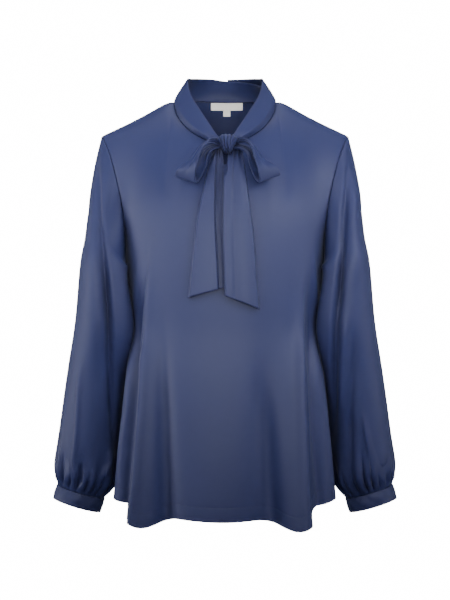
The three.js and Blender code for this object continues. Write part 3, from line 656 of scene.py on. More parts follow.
def shell(node, grid, thick, round_=False, inside=None, last_normals=None):
    """A closed shell of cloth whose outer face is a grid of points, with rounded rims."""
    normals = facing(grid, round_)
    if inside is not None and np.sum(normals * (grid - np.asarray(inside, float))) < 0:
        grid = grid[::-1]
        normals = facing(grid, round_)
    if last_normals is not None:
        normals = normals.copy()
        given = np.linalg.norm(last_normals, axis=-1) > 0
        normals[-1][given] = last_normals[given]
    rows, columns = grid.shape[:2]
    thick = np.broadcast_to(np.asarray(thick, float), (rows, 1))[..., None]
    inner = grid - normals * thick
    ids = np.arange(rows * columns).reshape(rows, columns)
    close = (lambda a: np.concatenate([a, a[:, :1]], axis=1)) if round_ else (lambda a: a)
    o, i, p = close(ids), close(ids + rows * columns), cloth_places(close(grid))
    points = [grid.reshape(-1, 3), inner.reshape(-1, 3)]
    used = 2 * rows * columns
    faces, face_places = [], []

    def quads(ids, at):
        """Faces and their places, from their four corners in turn."""
        faces.append(np.stack([x.reshape(-1) for x in ids], axis=1))
        face_places.append(np.stack([x.reshape(-1, 2) for x in at], axis=1))

    def strip(a, b, at, turned_over):
        """A strip of faces between two lines of points."""
        if turned_over:
            quads((a[:-1], a[1:], b[1:], b[:-1]), (at[:-1], at[1:], at[1:], at[:-1]))
        else:
            quads((a[:-1], b[:-1], b[1:], a[1:]), (at[:-1], at[:-1], at[1:], at[1:]))

    def rim(outer, inward, beside):
        """A rounded rim's middle line."""
        nonlocal used
        deep = np.linalg.norm(outer - inward, axis=-1)[:, None]
        middle = (outer + inward) / 2 + unit(outer - beside) * deep * RIM
        points.append(middle)
        found = np.arange(used, used + len(middle))
        used += len(middle)
        return found

    quads(*([x[:-1, :-1], x[:-1, 1:], x[1:, 1:], x[1:, :-1]] for x in (o, p)))
    quads(*([x[:-1, :-1], x[1:, :-1], x[1:, 1:], x[:-1, 1:]] for x in (i, p)))
    b = close(rim(grid[0], inner[0], grid[1])[None])[0]
    t = close(rim(grid[-1], inner[-1], grid[-2])[None])[0]
    strip(o[0], b, p[0], False)
    strip(b, i[0], p[0], False)
    strip(o[-1], t, p[-1], True)
    strip(t, i[-1], p[-1], True)
    if not round_:
        l = rim(grid[:, 0], inner[:, 0], grid[:, 1])
        m = rim(grid[:, -1], inner[:, -1], grid[:, -2])
        strip(o[:, 0], l, p[:, 0], True)
        strip(l, i[:, 0], p[:, 0], True)
        strip(o[:, -1], m, p[:, -1], False)
        strip(m, i[:, -1], p[:, -1], False)
        corners = [
            (i[0, 0], b[0], o[0, 0], l[0], p[0, 0]),
            (o[0, -1], b[-1], i[0, -1], m[0], p[0, -1]),
            (o[-1, 0], t[0], i[-1, 0], l[-1], p[-1, 0]),
            (i[-1, -1], t[-1], o[-1, -1], m[-1], p[-1, -1]),
        ]
        for *corner, place in corners:
            faces.append(np.array([corner]))
            face_places.append(np.array([[place] * 4]))
    mesh = bpy.data.meshes.new(cloth_name(node))
    mesh.from_pydata((np.concatenate(points) * MM).tolist(), [], np.concatenate(faces).tolist())
    layer = mesh.uv_layers.new(name="cloth")
    layer.data.foreach_set("uv", np.concatenate(face_places).reshape(-1))
    mesh.polygons.foreach_set("use_smooth", np.ones(len(mesh.polygons), dtype=bool))
    mesh.update()
    obj = bpy.data.objects.new(cloth_name(node), mesh)
    bpy.context.scene.collection.objects.link(obj)
    return obj


def cloth_name(node):
    return f"{node}_cloth"


def sew_on(obj, node, cut, slot="satin"):
    """Gives a finished piece its cloth and its place on the blouse."""
    obj.data.materials.append(satin() if slot == "satin" else label_ribbon())
    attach(obj, "root")
    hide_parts(node)
    width, length, area = cut
    width, length = max(width, SMALLEST_SIDE), max(length, SMALLEST_SIDE)


def tube(node, grid, thick):
    """Makes a piece that is closed all round."""
    obj = shell(node, grid, thick, round_=True, inside=centre(grid))
    sew_on(obj, node, cut_of(grid, True))


def strip_of_cloth(node, grid, thick, inside, slot="satin"):
    """Makes a piece with four edges, whose outer face looks away from a place."""
    obj = shell(node, grid, thick, inside=inside)
    sew_on(obj, node, cut_of(grid), slot)


# Materials


def add(tree, kind, place, inputs=None, **settings):
    """A new node with its settings, and then the values of its inputs."""
    node = tree.nodes.new(kind)
    node.location = place
    for name, value in settings.items():
        setattr(node, name, value)
    for name, value in (inputs or {}).items():
        node.inputs[name].default_value = value
    return node


def join(tree, *wires):
    """Links, each from one node's output to another's input."""
    for source, output, target, name in wires:
        tree.links.new(source.outputs[output], target.inputs[name])


def fresh_material(name):
    """The material of that name, and whether it is new and still without nodes."""
    material = bpy.data.materials.get(name)
    if material:
        return material, False
    material = bpy.data.materials.new(name)
    material.use_nodes = True
    material.node_tree.nodes.clear()
    return material, True


def dyed(colour, *shares):
    """A colour with each of its channels multiplied by a share."""
    return (*(c * share for c, share in zip(colour, shares)), 1)


def satin():
    """Slate blue satin: a soft sheen along the thread, fine twill lines and slight crumple."""
    cloth = bpy.context.scene.blouse_cloth
    material, new = fresh_material("slate satin")
    if not new:
        return material
    tree = material.node_tree
    output = add(tree, "ShaderNodeOutputMaterial", (900, 0))
    surface_look = {
        "Specular IOR Level": 0.45,
        "Sheen Weight": cloth.sheen,
        "Sheen Roughness": 0.45,
        "Sheen Tint": (0.62, 0.70, 1.0, 1.0),
        "Anisotropic": 0.7,
    }
    shader = add(tree, "ShaderNodeBsdfPrincipled", (600, 0), surface_look)
    tangent = add(tree, "ShaderNodeTangent", (300, -500), direction_type="UV_MAP", uv_map="cloth")
    place = add(tree, "ShaderNodeTexCoord", (-1300, 200))
    cloth_map = add(tree, "ShaderNodeUVMap", (-1300, -300), uv_map="cloth")
    join(tree, (shader, "BSDF", output, "Surface"), (tangent, "Tangent", shader, "Tangent"))

    # The dye is slightly uneven
    tone = add(tree, "ShaderNodeTexNoise", (-900, 400), {"Scale": 14.0, "Detail": 4.0})
    dye = cloth.satin_colour
    shades = {"A": dyed(dye, 0.93, 0.93, 0.95), "B": dyed(dye, 1.07, 1.06, 1.04)}
    colour = add(tree, "ShaderNodeMix", (200, 300), shades, data_type="RGBA")
    join(tree, (place, "Object", tone, "Vector"), (tone, "Fac", colour, "Factor"))

    # Painted shade: the colour is darkened in deep creases and beside a seam or an edge, where ambient
    # occlusion finds the cloth hemmed in
    hollow = add(tree, "ShaderNodeAmbientOcclusion", (0, 500), {"Distance": 0.018}, samples=8)
    light = {"From Min": 0.25, "From Max": 0.95, "To Min": cloth.shade}
    shade = add(tree, "ShaderNodeMapRange", (200, 500), light)
    deep = add(tree, "ShaderNodeMix", (400, 400), {"Factor": 1.0}, data_type="RGBA", blend_type="MULTIPLY")
    join(
        tree,
        (hollow, "AO", shade, "Value"),
        (colour, "Result", deep, "A"),
        (shade, "Result", deep, "B"),
        (deep, "Result", shader, "Base Color"),
    )

    # Its gloss varies with the dye
    rough = {"To Min": cloth.satin_roughness - 0.04, "To Max": cloth.satin_roughness + 0.04}
    gloss = add(tree, "ShaderNodeMapRange", (200, 60), rough)
    join(tree, (tone, "Fac", gloss, "Value"), (gloss, "Result", shader, "Roughness"))

    # Slight crumple, longer down the cloth than across it
    drawn = add(tree, "ShaderNodeMapping", (-1100, -50), {"Scale": (34.0, 34.0, 9.0)})
    crumple = add(tree, "ShaderNodeTexNoise", (-900, -50), {"Scale": 1.0, "Detail": 3.0})
    soft = add(tree, "ShaderNodeBump", (0, -200), {"Strength": cloth.crumple, "Distance": 0.004})
    join(
        tree,
        (place, "Object", drawn, "Vector"),
        (drawn, "Vector", crumple, "Vector"),
        (crumple, "Fac", soft, "Height"),
    )

    # Twill lines of the satin weave
    slanted = {"Rotation": (0, 0, math.radians(27)), "Scale": (1600.0, 1600.0, 1.0)}
    threads = add(tree, "ShaderNodeMapping", (-1100, -450), slanted)
    lines = {"Scale": 0.3, "Distortion": 1.5, "Detail": 1.0}
    twill = add(tree, "ShaderNodeTexWave", (-900, -450), lines, wave_type="BANDS", bands_direction="X")
    weave = add(tree, "ShaderNodeBump", (250, -250), {"Strength": 0.12, "Distance": 0.00006})
    join(
        tree,
        (cloth_map, "UV", threads, "Vector"),
        (threads, "Vector", twill, "Vector"),
        (twill, "Fac", weave, "Height"),
        (soft, "Normal", weave, "Normal"),
        (weave, "Normal", shader, "Normal"),
    )
    return material


def label_ribbon():
    """Cream woven ribbon with fine cross ribs."""
    cloth = bpy.context.scene.blouse_cloth
    material, new = fresh_material("cream ribbon")
    if not new:
        return material
    tree = material.node_tree
    output = add(tree, "ShaderNodeOutputMaterial", (700, 0))
    # Painted light: the ribbon glows a little, so that it sends back more light than falls on it
    surface_look = {
        "Roughness": 0.4,
        "Specular IOR Level": 0.9,
        "Emission Color": (1.0, 0.97, 0.9, 1.0),
        "Emission Strength": cloth.painted_glow,
    }
    shader = add(tree, "ShaderNodeBsdfPrincipled", (400, 0), surface_look)
    cloth_map = add(tree, "ShaderNodeUVMap", (-900, 0), uv_map="cloth")
    lines = {"Scale": 450.0, "Distortion": 0.6}
    ribs = add(tree, "ShaderNodeTexWave", (-500, 100), lines, wave_type="BANDS", bands_direction="Y")
    speckle = add(tree, "ShaderNodeTexNoise", (-500, -200), {"Scale": 900.0})
    dye = cloth.label_colour
    shades = {"A": dyed(dye, 0.86, 0.86, 0.84), "B": dyed(dye, 1, 1, 1)}
    colour = add(tree, "ShaderNodeMix", (0, 200), shades, data_type="RGBA")
    bump = add(tree, "ShaderNodeBump", (150, -200), {"Strength": 0.4, "Distance": 0.0002})
    join(
        tree,
        (shader, "BSDF", output, "Surface"),
        (cloth_map, "UV", ribs, "Vector"),
        (cloth_map, "UV", speckle, "Vector"),
        (ribs, "Fac", colour, "Factor"),
        (colour, "Result", shader, "Base Color"),
        (speckle, "Fac", bump, "Height"),
        (bump, "Normal", shader, "Normal"),
    )
    return material


def white_stage():
    """Plain white paper that is lit evenly."""
    material, new = fresh_material("white paper")
    if not new:
        return material
    tree = material.node_tree
    output = add(tree, "ShaderNodeOutputMaterial", (300, 0))
    white = {"Color": (1, 1, 1, 1), "Strength": bpy.context.scene.blouse_stage.paper}
    glow = add(tree, "ShaderNodeEmission", (0, 0), white)
    join(tree, (glow, "Emission", output, "Surface"))
    return material


# Settings


def length_setting(name, description, default, low, high, precision=5):
    return FloatProperty(
        name=name, description=description, default=default, min=low, max=high, precision=precision,
        unit="LENGTH",
    )


def share_setting(name, description, default, low=0.0, high=1.0):
    return FloatProperty(
        name=name, description=description, default=default, min=low, max=high, subtype="FACTOR",
    )


def colour_setting(name, description, default):
    return FloatVectorProperty(
        name=name, description=description, default=default, size=3, min=0, max=1, subtype="COLOR",
    )


class BlouseCloth(bpy.types.PropertyGroup):
    cloth: length_setting("Cloth", "Thickness of one layer of satin", 0.0009, 0.0003, 0.003)
    band: length_setting("Folded band", "Thickness of the folded collar, tie and cuffs", 0.0022, 0.001, 0.005)
    satin_colour: colour_setting("Satin", "Colour of the satin", (0.050, 0.0625, 0.195))
    satin_roughness: share_setting("Satin roughness", "How matt the satin is", 0.5, 0.1, 0.9)
    sheen: share_setting("Sheen", "Soft light along the satin's edges", 0.1)
    # How dark the painted crease shade makes the colour at its deepest
    shade: share_setting("Crease shade", "How much of the colour shows in the deepest creases", 0.36)
    crumple: share_setting("Crumple", "How crumpled the satin is", 0.03)
    label_colour: colour_setting("Label", "Colour of the label", (0.93, 0.90, 0.83))
    # Painted glow: the label's emission brightens it beyond the light that falls on it
    painted_glow: share_setting("Painted_glow", "How much the label's whitener brightens it", 0.65)


class BlouseHem(bpy.types.PropertyGroup):
    deep: length_setting("Hem depth", "Height of the hem's stitch line above the edge", 0.023, 0.005, 0.05, 4)
    stitch: length_setting("Stitch length", "Length of one stitch", 0.0024, 0.001, 0.006)
    gap: length_setting("Stitch gap", "Gap between two stitches", 0.0009, 0.0002, 0.004)
    thread: length_setting("Thread", "Thickness of the thread", 0.0003, 0.0001, 0.002)


class BlouseStage(bpy.types.PropertyGroup):
    floor: FloatProperty(
        name="Floor below", description="Depth of the floor below the hem", default=0.45, min=0.05, max=2,
        unit="LENGTH",
    )
    lamps: FloatProperty(
        name="Lights", description="Share of the studio lights' power", default=1.0, min=0, max=10,
    )
    sky: FloatProperty(
        name="Sky", description="Strength of the light from all round", default=0.02, min=0, max=3,
    )
    paper: FloatProperty(
        name="Paper", description="Brightness of the backdrop", default=16.0, min=0, max=30,
    )


# Pieces


# How fine the pieces are: faces across a panel or round a tube, then points along it, or points across and
# along a strip
FINE = {
    "panel": 240, "sleeve": 220, "cuff": (160, 15), "knot": (96, 91),
    "collar": (29, 181), "loop": (33, 170), "tail": (60, 150), "label": (49, 17),
}
# Pleats beside the knot: how high they are, their number, and their reach as a share of the strip
PLEATS = {"collar": (1.1, 1.6, 0.1), "loop": (2.2, 2.5, 0.17), "tail": (2.2, 3, 0.16)}
LOOP_BOW = 0.05  # how far a loop's band bows out, as a share of its distance from the loop's turn
HEM_V = 0.042  # share of a panel's height with the closest rows, which takes in its hem
SLEEVE_ROWS = (34, 9, 8, 22, 20, 20, 22, 34)  # rows of faces from each section of a sleeve to the next
EVENED = 240  # how many times the cloth across the bust and the back is evened out
INSIDE_CUFF = 0.6  # how far inside the cuff's outline a sleeve ends
IN_FRONT, INSIDE = -400.0, 0.0  # y of places in front of the blouse and inside it
KNOT_THICK, LABEL_THICK = 1.5, 0.6
SIDES = {"right": -1, "left": 1}
MADE = {}  # the grids of the front and back, for the pieces that are sewn to them


def full_turn(count):
    """Angles all round, in degrees."""
    return np.arange(count) * 360 / count


def mirrored(grid, side):
    """A tube that is made for the +X side, or its mirror image for the other."""
    return (grid * [-1, 1, 1])[:, ::-1] if side < 0 else grid


def panel_rows():
    """Places up a panel, from 0 at the hem to 1 at the top edge."""
    hem = np.linspace(0, HEM_V, 27)
    skirt = np.linspace(HEM_V, UNDERARM_V, 78)[1:]
    chest = np.linspace(UNDERARM_V, 1, 58)[1:]
    return np.concatenate([hem, skirt, chest])


def panel_grid(panel):
    """The outer face of the front or back, with its folds, hem and seams."""
    hem_deep = bpy.context.scene.blouse_hem.deep / MM
    across = np.linspace(-1, 1, FINE["panel"] + 1) * (1 - SIDE_GAP)
    s, v = np.meshgrid(across, panel_rows())
    from_side = 1 - np.abs(s)
    angle = panel_angle(panel, s)
    turn = np.radians(angle)
    # Just above the underarm the cloth is evened out, but not at the side seams
    even = ridge(v - UNDERARM_V - 0.02, 0.1) * smooth_step(from_side, 0.0, 0.12)
    grid = soften(panel_point(panel, s, v), EVENED, even)
    fold = body_fold(angle, grid[..., 2])
    out = np.stack([np.sin(turn), -np.cos(turn), 0 * turn], axis=-1)
    grid = creased(grid + out * fold[..., None], CREASES[panel])
    # The turned-up hem with 61 uneven puckers all round, and the dips along the sewn edges
    above = grid[..., 2] - hem_z(angle)
    pucker = np.sin(turn * 61 + 2 * np.sin(turn * 17))
    step = HEM_STEP * (1 - smooth_step(above, hem_deep - 1, hem_deep + 0.5))
    step -= HEM_GROOVE * ridge(above - hem_deep, GROOVE_REACH)
    step += HEM_PUCKER * pucker * ridge(above - hem_deep, PUCKER_REACH)
    step -= SIDE_DIP * ridge(from_side * HALF_PANEL, DIP_REACH)
    on_shoulder = (np.abs(s) > NECK_SHARE) * smooth_step(v, 0.7, 0.9)
    grid = grid + facing(grid) * step[..., None] * (1 if panel == "front" else -1)
    grid[..., 2] -= SHOULDER_DIP * on_shoulder * ridge((1 - v) * PANEL_HIGH, DIP_REACH)
    return grid, s, v


def surface(obj):
    """What rays meet on a piece, in millimetres."""
    points = np.empty(len(obj.data.vertices) * 3)
    obj.data.vertices.foreach_get("co", points)
    faces = [tuple(face.vertices) for face in obj.data.polygons]
    return BVHTree.FromPolygons((points.reshape(-1, 3) / MM).tolist(), faces)


def laid_on(tree, x, z, off, start):
    """Points over x and z, off the surface that a look along +Y from a start meets."""
    x, z, off = np.broadcast_arrays(x, z, off)
    found = []
    for px, pz, po in zip(x.flat, z.flat, off.flat):
        hit, normal, _, _ = tree.ray_cast(Vector((px, start, pz)), Vector((0, 1, 0)))
        if hit is None:
            raise RuntimeError(f"nothing lies behind {px:.0f}, {pz:.0f}")
        if normal.y > 0:
            normal = -normal
        found.append(hit + normal * float(po))
    return np.array([tuple(p) for p in found]).reshape(x.shape + (3,))


class BLOUSE_OT_body(bpy.types.Operator):
    """Makes the front and the back, with their folds, hem and seams"""

    bl_idname = "blouse.body"
    bl_label = "Front and back"

    def execute(self, context):
        cloth = context.scene.blouse_cloth.cloth / MM
        hem_deep = context.scene.blouse_hem.deep / MM
        grids = {panel: panel_grid(panel) for panel in ("front", "back")}
        normals = {"front": facing(grids["front"][0]), "back": -facing(grids["back"][0])}
        # The two panels share their normals along the shoulder seams
        shared = unit(normals["front"][-1] + normals["back"][-1])
        sewn = np.abs(grids["front"][1][-1]) >= NECK_SHARE
        rim = np.where(sewn[:, None], shared, 0)
        middle = FINE["panel"] // 2
        for panel, (grid, _, _) in grids.items():
            MADE[panel] = grids[panel]
            if panel == "back":
                grid = grid[:, ::-1]
                rim = rim[::-1]
            folded = grid[:, middle, 2] - grid[0, middle, 2] < hem_deep
            thick = np.where(folded, 2 * cloth, cloth)[:, None]
            obj = shell(panel, grid, thick, last_normals=rim)
            sew_on(obj, panel, cut_of(grid))
        return {"FINISHED"}


def sleeve_ring(ring, angle):
    """One section of a sleeve at angles from its outer side, through its front."""
    sin, cos = np.sin(np.radians(angle)), np.cos(np.radians(angle))
    hugged, before, after = HUG
    reach = ring["wide"] * cos - ring["hug"] * ridge(turned(angle - hugged), before, after)
    tilt = np.radians(ring["tilt"])
    return np.stack(
        [ring["x"] + reach * np.cos(tilt), ring["y"] - ring["deep"] * sin, ring["z"] + reach * np.sin(tilt)],
        axis=-1,
    )


def armhole(angle, side):
    """The armhole at the same angles, from the shoulder round the front to the underarm and up the back."""
    down = np.where(angle <= 180, angle, 360 - angle) / 180
    power = math.log(1 - FRONT_OF_ARMHOLE) / math.log(0.5)
    place = UNDERARM_V + (1 - UNDERARM_V) * (1 - down**power)
    found = []
    for panel in ("front", "back"):
        grid, _, v = MADE[panel]
        edge = grid[:, -1 if side > 0 else 0] * [side, 1, 1]
        found.append(np.stack([np.interp(place, v[:, 0], edge[:, i]) for i in range(3)], axis=-1))
    return np.where((angle <= 180)[:, None], found[0], found[1])


def sleeve_fold(folds, angle, z):
    """How far the long folds of a sleeve stand out."""
    total = np.zeros_like(z)
    for start, end, top, low, out, before, after in zip(*folds.values()):
        down = (top - z) / (top - low)
        inside = (down > 0) & (down < 1)
        held = np.clip(down, 0, 1)
        swell = np.sin(np.pi * held**0.8).clip(0) ** 0.8
        across = turned(angle - start - (end - start) * held)
        total += np.where(inside, out * swell * ridge(across, before, after), 0)
    return total


def gathers(angle, above, side):
    """How far the gathers stand out, at a distance above the cuff."""
    turn = np.radians(angle)
    # No two gathers are alike in height or spacing
    uneven = 1 + 0.35 * np.sin(3 * turn + 1 + side) + 0.25 * np.sin(5 * turn)
    phase = GATHERS["count"] * turn + 0.9 * np.sin(4 * turn + side) + 0.6 * np.sin(7 * turn + 2 * side)
    reach = GATHERS["fade"] * uneven
    rise = GATHERS["rise"]
    strength = plateau(above, 0, rise, rise, np.maximum(reach, rise + 10))
    puff = 2 * np.abs(np.cos(phase / 2)) ** 0.8 - 1.3
    # Wider, softer folds run on above them
    wide = np.cos(phase / 2 + 0.4) * plateau(above, 12, 34, 40, 100 * uneven)
    root = GATHERS["root"] * (1 - smooth_step(above, rise, reach + 10))
    return (root + GATHERS["depth"] * uneven * strength) * puff + 1.6 * wide


def sleeve_steps():
    """Places down a sleeve, counted in sections, close at its head and its cuff."""
    spans = [np.linspace(i, i + 1, rows, endpoint=False) for i, rows in enumerate(SLEEVE_ROWS)]
    return np.concatenate([*spans, [float(len(SLEEVE_ROWS))]])


def sleeve_grid(side):
    """The outer face of a sleeve, from the armhole to the cuff."""
    name = "right" if side < 0 else "left"
    angle = full_turn(FINE["sleeve"])
    spans = len(SLEEVE_RINGS["x"])
    rings = [sleeve_ring(row_of(SLEEVE_RINGS, i), angle) for i in range(spans)]
    last = row_of(CUFF_RINGS, 0)
    last["wide"] -= INSIDE_CUFF
    last["deep"] -= INSIDE_CUFF
    last["z"] += 1.6 * SEAM
    rings.append(sleeve_ring(last, angle))
    start = armhole(angle, side)
    away = unit(rings[0] - start) + [0.6, 0, 0]
    line = np.stack([start + away * 1.8 * SEAM, *rings])
    steps = sleeve_steps()
    grid = through(line, steps / spans)
    above = np.linalg.norm(grid - grid[-1], axis=-1)
    k, turn = np.meshgrid(steps, angle, indexing="ij")
    head = SLEEVE_HEAD * np.sin(np.pi * np.clip(k, 0, 1)) * np.maximum(np.cos(np.radians(turn)), 0)
    fold = sleeve_fold(SLEEVE_FOLDS[name], turn, grid[..., 2]) * smooth_step(k, 0, 1.2) + head
    fold = fold + gathers(turn, above, side)
    fold = fold + UNDERARM_LAP * np.sin(np.pi * np.clip(k / 1.5, 0, 1)) * ridge(turned(turn - 140), 30)
    # The folds stand out in the slant of each section
    tilts = {"i": np.arange(1, spans + 1.0), "tilt": SLEEVE_RINGS["tilt"]}
    lean = np.radians(between(tilts, "i", np.clip(k, 1, spans))["tilt"])
    turn = np.radians(turn)
    out = np.stack([np.cos(turn) * np.cos(lean), -np.sin(turn), np.cos(turn) * np.sin(lean)], axis=-1)
    return mirrored(grid + out * fold[..., None], side)


class BLOUSE_OT_sleeves(bpy.types.Operator):
    """Makes the sleeves, with their long creases and the gathers at their cuffs"""

    bl_idname = "blouse.sleeves"
    bl_label = "Sleeves"

    def execute(self, context):
        cloth = context.scene.blouse_cloth.cloth / MM
        for name, side in SIDES.items():
            node = f"sleeve_{name}"
            grid = creased(sleeve_grid(side), CREASES[node], round_=True)
            tube(node, grid, cloth)
        return {"FINISHED"}


def cuff_grid(side):
    """The outer face of a cuff, slightly rounded and uneven."""
    around, high = FINE["cuff"]
    angle = full_turn(around)
    top, foot = (sleeve_ring(row_of(CUFF_RINGS, i), angle) for i in (0, 1))
    k = np.linspace(0, 1, high)[:, None, None]
    grid = top * (1 - k) + foot * k
    out = facing(grid, True)
    out *= np.sign(np.sum(out * (grid - centre(grid))))
    turn = np.radians(angle)[None]
    level = k[..., 0]
    wave = 0.7 * np.sin(np.pi * level)
    wave = wave + 0.5 * np.sin(9 * turn + 3 * level + side) * np.sin(np.pi * level) ** 2
    wave = wave + 0.35 * np.sin(20 * turn) * (1 - smooth_step(level, 0, 0.4))
    return mirrored(grid + out * wave[..., None], side)


class BLOUSE_OT_cuffs(bpy.types.Operator):
    """Makes the cuffs"""

    bl_idname = "blouse.cuffs"
    bl_label = "Cuffs"

    def execute(self, context):
        band = context.scene.blouse_cloth.band / MM
        for name, side in SIDES.items():
            tube(f"cuff_{name}", cuff_grid(side), band)
        return {"FINISHED"}


def tent(k, crest, soft):
    """A rounded fold across a band: 0 at its edges and 1 at its crest."""
    rise = np.minimum(k / crest, (1 - k) / (1 - crest))
    low = 1 + soft - math.hypot(1, soft)
    return (1 + soft - np.hypot(1 - rise, soft) - low) / (1 - low)


def collar_grid(side):
    """The outer face of one side of the collar, from the back of the neck to the knot."""
    rows = columns_of(NECK, "x y z edge_x edge_y edge_z roll")
    mirror = [side, 1, 1, side, 1, 1, 1]
    if side < 0:
        # This side passes the back's centre and laps inside the other
        first = []
        for row, inside, lower in zip(*LAP.values()):
            x, y, z, edge_x, edge_y, edge_z, roll = rows[int(row)]
            pull = 1 - inside / math.hypot(x, y)
            below = (x * pull, y * pull, z - LAP_LOW)
            above = (edge_x * pull, edge_y * pull, edge_z - lower)
            first.append((*below, *above, roll))
    else:
        first = [rows[0].copy()]
        first[0][[0, 3]] = LAP_END_X
    path = np.array([*first, *(rows * mirror)[1:], np.array(TIE_ROOT) * mirror])
    across, along = FINE["collar"]
    t = np.linspace(0, 1, along)
    k = np.linspace(0, 1, across)[:, None]
    seam, edge = through(path[:, :3], t), through(path[:, 3:6], t)
    marks = {"i": np.arange(len(path), dtype=float), "roll": path[:, 6]}
    roll = between(marks, "i", t * (len(path) - 1))["roll"]
    rise = edge - seam
    out = unit(seam * [1, 1, 0])
    low = 1.2 * SEAM / np.linalg.norm(rise, axis=-1)
    share = low + (1 - low) * k
    # It rolls softly at the back, and is pressed into a fold at the front
    front = smooth_step(-seam[:, 1], 0, 45)
    fold = (1 - front) * np.sin(np.pi * k**0.7) + front * 1.5 * tent(k, 0.36, 0.1)
    grid = seam + rise * share[..., None] + out * (roll * fold)[..., None]
    high, count, reach = PLEATS["collar"]
    return grid + out * (high * ridge(1 - t, reach) * np.sin(2 * np.pi * count * k))[..., None]


class BLOUSE_OT_collar(bpy.types.Operator):
    """Makes both sides of the folded collar, up to the knot"""

    bl_idname = "blouse.collar"
    bl_label = "Collar"

    def execute(self, context):
        band = context.scene.blouse_cloth.band / MM
        for name, side in SIDES.items():
            strip_of_cloth(f"collar_{name}", collar_grid(side), band, inside=(0, 0, -10))
        return {"FINISHED"}


def knot_grid():
    """The knot, from side to side and round, with grooves between its pleats."""
    around, along = FINE["knot"]
    k = np.linspace(0, 1, along)[:, None]
    turn = np.radians(full_turn(around))[None]
    sin, cos = np.sin(turn), np.cos(turn)
    across = 2 * k - 1
    full = np.sqrt(np.maximum(1 - np.abs(across) ** KNOT_SQUARE, 0.03))
    # The grooves wander a little, and their depth varies
    shift = 0.018 * np.sin(3 * turn) + 0.012 * np.sin(5 * turn + 1)
    valley = 1 - np.abs(np.sin(np.pi * KNOT["pleats"] * (k + shift))) ** 0.55
    depth = KNOT["groove"] * valley * (0.8 + 0.3 * np.sin(7 * k + 2 * turn))
    wide = KNOT["wide"] * (1 - KNOT_NARROW * smooth_step(-sin, -0.9, 1))
    flat = lambda a: np.sign(a) * np.abs(a) ** KNOT_FLAT
    x = KNOT["x"] + wide * across
    y = KNOT["y"] - (KNOT["deep"] * full - depth) * flat(cos)
    z = KNOT["z"] + (KNOT["high"] * full - depth) * flat(sin)
    return np.stack([x, y, z], axis=-1)


def loop_grid(rows):
    """A loop of the bow as a band between two edges, bowed out between them, with pleats at its ends."""
    near_line, far_line = columns_of(rows, "x y z"), columns_of(rows, "far_x far_y far_z")
    across, along = FINE["loop"]
    t = np.linspace(0, 1, along)
    q = np.linspace(0, 1, across)[:, None, None]
    grid = through(near_line, t) * (1 - q) + through(far_line, t) * q
    half = np.array([0.5])
    middle = through(near_line, half)[0] * (1 - q) + through(far_line, half)[0] * q
    bulge = -LOOP_BOW * np.sin(np.pi * q) * np.sin(np.pi * t)[None, :, None]
    grid = grid * (1 - bulge) + middle * bulge
    q = q[..., 0]
    high, count, reach = PLEATS["loop"]
    pleats = high * np.sin(2 * np.pi * count * q + 0.6) * (ridge(t, reach) + ridge(1 - t, reach))
    # One soft ridge runs aslant from the knot to the turn of the loop
    pleats = pleats + 1.1 * ridge(q - 0.4 - 0.25 * t, 0.1) * np.sin(np.pi * np.clip(t / 0.5, 0, 1))
    return grid + facing(grid) * pleats[..., None]


def tail_grid(name):
    """The outer face of a hanging end, from the knot down, laid over the front."""
    rows = TAILS[name]
    count = len(rows["z"])
    across, along = FINE["tail"]
    down = np.linspace(0, 1, along)[:, None]
    row = between({"i": np.arange(count, dtype=float), **rows}, "i", down * (count - 1))
    q = np.linspace(0, 1, across)[None]
    high, count, reach = PLEATS["tail"]
    pleats = high * np.cos(2 * np.pi * count * q + 0.8) * ridge(down, reach) * smooth_step(down, 0, 0.03)
    if name == "right":
        # One full fold, and beside it a deep hollow that narrows as it goes down
        hollow = 0.63 + 0.36 * np.clip(down - 0.31, 0, 1)
        narrow = 0.09 - 0.05 * down
        full = plateau(q, 0, 0.1, hollow - 2 * narrow, hollow - narrow)
        strip = plateau(q, hollow + narrow, hollow + 1.8 * narrow, 0.96, 1)
        form = (5.5 + 1.2 * np.sin(np.pi * q)) * full + 1.1 * strip - TAIL_SINKS
    else:
        # One full fold with a shallow crease and a low swell on it
        form = (5.0 + 1.2 * np.sin(np.pi * q)) * plateau(q, 0, 0.07, 0.93, 1)
        form = form - 1.6 * ridge(q - 0.42 + 0.1 * down, 0.06, 0.14) + 0.6 * ridge(q - 0.7, 0.1, 0.2)
    form = form * smooth_step(down, 0, 0.3) + pleats
    band = bpy.context.scene.blouse_cloth.band / MM
    off = row["lift"] + band + TAIL_SINKS + np.maximum(form, -TAIL_SINKS)
    x = row["x"] * (1 - q) + row["far_x"] * q
    z = row["z"] * (1 - q) + row["end_z"] * q
    tree = surface(bpy.data.objects[cloth_name("front")])
    return laid_on(tree, x, z, off, IN_FRONT)


class BLOUSE_OT_bow(bpy.types.Operator):
    """Makes the bow: its knot, two loops and two hanging ends"""

    bl_idname = "blouse.bow"
    bl_label = "Bow"

    def execute(self, context):
        band = context.scene.blouse_cloth.band / MM
        tube("bow_knot", knot_grid(), KNOT_THICK)
        for name in SIDES:
            loop = loop_grid(LOOPS[name])
            strip_of_cloth(f"bow_loop_{name}", loop, band, inside=centre(loop))
            end = tail_grid(name)
            strip_of_cloth(f"tie_end_{name}", end, band, inside=(0, 0, -200))
        return {"FINISHED"}


